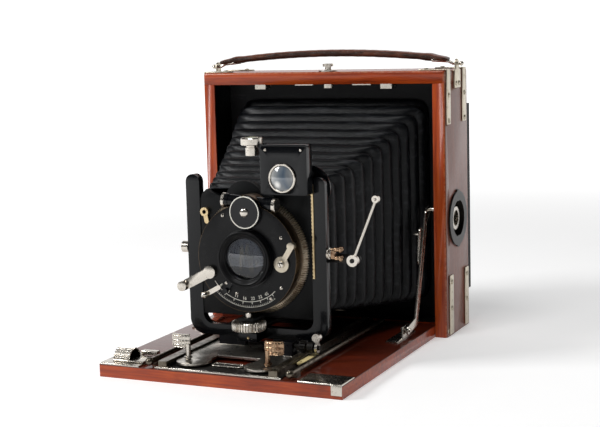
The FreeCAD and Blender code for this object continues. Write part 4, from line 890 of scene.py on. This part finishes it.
shutter_places = ((21.2, 74.6), (20.6, 47.0), (14.3, 40.6), (-6.6, 42.8), (-13.0, 48.0), (-13.9, 85.9))
small_screws("shutter_screws", [(x, -104.7, z) for x, z in shutter_places], 0.95, "lens_board", nickel)
small_screws("lever_screw", [(21.6, -107.1, 60.4)], 1.7, "selector_lever", nickel)
small_screws("standard_screw", [(1.0, -107.4, 18.6)], 0.8, "standard", brass)
small_screws("hood_screws", [(12.0, -102.0, 122.2), (33.0, -102.0, 122.2)], 0.8, "finder", nickel)
trim = block((-37.6, -144.4, 7.0), (37.6, -143.6, 8.3), 0.3, 2)
fit(shape("bed_strip", trim, closed=False), "case", nickel, "nickel")


def wire_loop(centre, half, corner, radius):
    """A round wire carried along a rounded rectangle: each path point moves out by the wire's circle."""
    turn = np.linspace(0, 2 * math.pi, 96, endpoint=False)
    path = np.stack([np.sign(np.cos(turn)) * (half[0] - corner) + corner * np.cos(turn),
                     np.sign(np.sin(turn)) * (half[1] - corner) + corner * np.sin(turn)], -1)
    out = np.stack([np.cos(turn), np.sin(turn)], -1)
    round_wire = np.linspace(0, 2 * math.pi, 13)[:, None]
    x = centre[0] + path[:, 0] + radius * np.cos(round_wire) * out[:, 0]
    y = centre[1] + path[:, 1] + radius * np.cos(round_wire) * out[:, 1]
    return np.stack([x, y, centre[2] + radius * np.sin(round_wire) + 0 * x], -1)


fit(shape("slot_wire", [wire_loop((0, -130.7, 8.55), (9.2, 2.6), 2.2, 0.55)]), "case", nickel, "nickel")
pot = [(0, 0), (3.6, 0), (3.6, 4.3), (3.1, 4.5), (3.1, 5.4), (5.8, 5.7), (6.1, 6.1), (6.1, 9.2), (5.6, 9.8),
       (4.6, 9.8), (4.5, 9.4), (0, 9.4)]
made = shape("level_pot", [turned((2.2, -98.15, 118.7), upward, pot, 48)])
fit(made, "finder", nickel, "nickel", "spirit_level", sharp=35)
bubble = dome((2.2, -98.15, 128.1), upward, 4.45, 0.9, 32)
fit(shape("level_window", [bubble]), "finder", level_glass, "lens_glass", "spirit_level")

# The scale on the standard's side is a strip whose edge steps out by 0.35 on two rows of every four.
row = np.arange(105)[:, None]
x = np.array([35.1, 36.0, 36.0, 35.1]) - 0.35 * (row % 4 < 2) * np.array([1, 0, 0, 1])
strip = np.stack([x, np.array([-94.1, -94.1, -93.5, -93.5]) + 0 * x, 51.0 + 0.5 * row + 0 * x], -1)
caps = strip[[0, -1]] * (0, 0, 1) + (35.5, -93.8, 0)
made = shape("toothed_scale", [np.concatenate([caps[:1], strip, caps[1:]])], smooth=False)
fit(made, "standard", brass, "nickel", "scale_strip")

# %% [markdown]
# ## The winged clamp
# The clamp that holds the rise is a small fork: a collar, a web and two prongs with rounded ends, brass
# showing through worn plate. Rounded blocks and one lathe make it.

# %% Fork of the clamp
collar = [(0, 0), (2.6, 0), (3.3, 0.4), (3.3, 1.4), (2.4, 1.9), (2.4, 2.6), (0, 2.6)]
fit(shape("clamp_stem", [turned((42.6, -91.0, 65), (1, 0, 0), collar, 36)]), "wing_clamp", nickel, "nickel",
    "wing_clamp", sharp=35)
prongs = []
for low, high, radius in (((44.6, -92.6, 61.9), (47.2, -89.4, 68.1), 0.9),
                          ((46.4, -92.4, 66.2), (51.9, -89.6, 68.6), 1.1),
                          ((46.4, -92.4, 61.4), (51.9, -89.6, 63.8), 1.1),
                          ((49.6, -92.9, 65.9), (51.4, -89.1, 69.0), 0.8),
                          ((49.6, -92.9, 61.0), (51.4, -89.1, 64.1), 0.8)):
    prongs += block(low, high, radius)
fit(shape("clamp_fork", prongs, closed=False), "wing_clamp", bronze, "bronze", "wing_clamp")

# %% [markdown]
# ## Pinch tabs and the bed catch
# The tabs that free the carriage are curved plates with a raised grid for the thumb, on a round post. The
# bed's catch is a ridged arch on a foot with a bar beside it. The grid and the ridges are part of the same
# formulas as the curve.

# %% Gridded tabs and ridged arch
def gridded_plate(x, y):
    """A plate curved round Z; its front is raised along 6 by 3 lines and round its border."""
    across, height = np.meshgrid(np.linspace(-1, 1, 73), np.linspace(0, 1, 49), indexing="ij")
    bow = 1.1 * (1 - across ** 2)
    lines = np.maximum(np.abs(np.sin(across * math.pi * 3)) ** 10, np.abs(np.sin(height * math.pi * 3)) ** 10)
    lines = np.maximum(lines, np.clip((np.maximum(np.abs(across), np.abs(2 * height - 1)) - 0.92) * 12, 0, 1))
    trim = 1 - 0.12 * np.abs(2 * height - 1) ** 6
    front = np.stack([x + 5.4 * across * trim, y - 0.1 - bow - 0.28 * lines, 16.8 + 7.4 * height], -1)
    rear = np.stack([x + 5.4 * across * trim, y + 0.7 - bow, 16.8 + 7.4 * height], -1)
    ring = np.concatenate([front, rear[:, ::-1]], axis=1)
    ends = [ring[k].mean(0) + 0 * ring[:1] for k in (0, -1)]
    return np.concatenate([ends[0], ring, ends[1]])


for side, name in ((-1, "pinch_tab_left"), (1, "pinch_tab_right")):
    profile = [(0, 0), (1.45, 0), (1.45, 2.0), (2.2, 2.2), (2.2, 3.0), (1.45, 3.2), (1.45, 10.0), (0, 10.6)]
    post = turned((side * 24, -131, 8.9), upward, profile, 28)
    plate = gridded_plate(side * 28, -131)
    fit(shape(name + "_grip", [post, plate]), name, bronze if side > 0 else nickel, "nickel", name, sharp=40)


def ridged_arch():
    """Half ring about X with fine ridges outside; radius 6.3 plus a small wave of the angle."""
    turn = np.linspace(-0.12, math.pi + 0.12, 121)
    outer = 6.3 + 0.28 * np.clip(1.6 * np.sin(turn * 22), -1, 1)
    inner = 5.5
    ring = np.concatenate([np.stack([outer * np.cos(turn), outer * np.sin(turn)], -1),
                           np.stack([inner * np.cos(turn), inner * np.sin(turn)], -1)[::-1]])
    centre_y, centre_z = -134, 8.3
    rows = [np.column_stack([0 * ring[:, 0] + x, centre_y + ring[:, 0] * size, centre_z + ring[:, 1] * size])
            for x, size in ((-66.1, 0.96), (-66.1, 1.0), (-56.0, 1.0), (-56.0, 0.97))]
    ends = [row * (1, 0, 0) + (0, centre_y, centre_z) for row in (rows[0], rows[-1])]
    return np.array([ends[0], *rows, ends[1]])


catch_parts = [ridged_arch(), *block((-66.2, -140.6, 8.3), (-47.0, -127.4, 9.2), 0.4),
               *block((-64.0, -128.5, 8.3), (-56.0, -122.0, 9.4), 0.4),
               *block((-57.0, -126.0, 9.0), (-46.8, -122.1, 11.4), 0.5)]
meshes = [shape("catch_arch", catch_parts[:1]).data]
meshes += [shape("catch_block", [part], closed=False).data for part in catch_parts[1:]]
fit(joined("bed_catch_ridged", meshes), "bed_catch", nickel, "nickel", "bed_catch", sharp=40)
for spare in [o for o in bpy.data.objects if o.name.startswith(("catch_arch", "catch_block"))]:
    bpy.data.objects.remove(spare)

# %% [markdown]
# ## Screws
# Every screw head is a shallow dome with a slot. Their places are read from the frame: each loose solid of
# the screws' node is found by joining points that share a face, and its box gives the middle and the thin
# direction.

# %% Slotted screw heads
def loose_solids(node):
    """Boxes of a node's solids: every point takes its neighbours' lowest label until nothing changes."""
    mesh = frame["nodes"][node].data
    points = np.empty(len(mesh.vertices) * 3)
    mesh.vertices.foreach_get("co", points)
    points = points.reshape(-1, 3) / mm
    merged, label = np.unique(np.round(points, 3), axis=0, return_inverse=True)
    corners = np.empty(len(mesh.loops), int)
    mesh.loops.foreach_get("vertex_index", corners)
    corners = label.reshape(-1)[corners].reshape(-1, 3)
    owner = np.arange(len(merged))
    for _ in range(200):
        before = owner.copy()
        least = owner[corners].min(1)
        for k in range(3):
            np.minimum.at(owner, corners[:, k], least)
        owner = owner[owner]
        if (owner == before).all():
            break
    return [(merged[owner == o].min(0), merged[owner == o].max(0)) for o in np.unique(owner)]


def heads(node):
    """A slotted head for each solid, as wide as its box and standing out along its thin direction."""
    parts = []
    for number, (low, high) in enumerate(loose_solids(node)):
        thin = int(np.argmin(high - low))
        middle = (low + high) / 2
        axis = np.zeros(3)
        axis[thin] = 1.0 if thin == 2 else np.sign(middle[thin])
        foot = middle - axis * (high - low)[thin] / 2
        radius = np.sort(high - low)[1] / 2
        parts.append(slotted_head(foot, axis, radius, (high - low)[thin], 0.7 + 1.9 * number))
    return parts


made = shape("case_screw_heads", heads("case_screws"), closed=False)
fit(made, "case", strap_nickel, "nickel", "case_screws", sharp=30)

# %% [markdown]
# ## Floor and light
# A pale plain floor, two square soft lamps and a sky. One lamp stands in front on the left and gives the
# long highlights on the enamel, and a weaker one hangs above in front. The sky is white behind the camera's
# case and nearly dark on the viewer's side, so that black paint stays black. The floor glows more the
# further it is from the object.

# %% Stage
def lamp(name, place, target, size, power):
    """A square soft lamp aimed at a target, all in metres."""
    light = bpy.data.lights.new(name, "AREA")
    light.size, light.energy = size, power
    made = placed(name, light)
    made.location = place
    made.rotation_euler = (Vector(target) - Vector(place)).to_track_quat("-Z", "Y").to_euler()


paper = Finish("paper", Roughness=0.9, Emission_Strength=1.0)
fibre = paper.noise(paper.place(), 40.0, 3.0, 0.6)
distance = paper.node("ShaderNodeVectorMath", {"operation": "LENGTH"}, {0: paper.place()}, 1)
paper.drive(Base_Color=paper.mix((0.86, 0.86, 0.86), (0.9, 0.9, 0.9), fibre),
            Emission_Color=paper.mix((0.34, 0.34, 0.34), (1.0, 1.0, 1.0), paper.between(distance, 0.35, 1.3)))
floor_mesh = bpy.data.meshes.new("floor")
floor_mesh.from_pydata([(-6, -6, 0), (6, -6, 0), (6, 6, 0), (-6, 6, 0)], [], [(0, 1, 2, 3)])
floor = placed("floor", floor_mesh)
floor.data.materials.append(paper.material)
world = bpy.data.worlds.new("pale_sky")
world.use_nodes = True
sky = world.node_tree.nodes
look = sky.new("ShaderNodeTexCoord")
split_sky = sky.new("ShaderNodeSeparateXYZ")
fade = sky.new("ShaderNodeMapRange")
fade.interpolation_type = "SMOOTHSTEP"
for socket, value in {"From Min": 0.3, "From Max": 0.8, "To Min": 0.03, "To Max": 1.05}.items():
    fade.inputs[socket].default_value = value
world.node_tree.links.new(look.outputs["Generated"], split_sky.inputs[0])
world.node_tree.links.new(split_sky.outputs[1], fade.inputs["Value"])
world.node_tree.links.new(fade.outputs[0], sky["Background"].inputs["Strength"])
sky["Background"].inputs["Color"].default_value = (1, 1, 1, 1)
bpy.context.scene.world = world
lit_point = (0, -0.03, 0.07)
lamp("window_lamp", (-1.15, -0.85, 0.95), lit_point, 0.45, 17)
lamp("top_lamp", (-0.1, -0.6, 1.4), lit_point, 0.5, 7)
bpy.context.scene.view_settings.view_transform = "Standard"
print("lamps", [light.name for light in bpy.data.lights])

# %% [markdown]
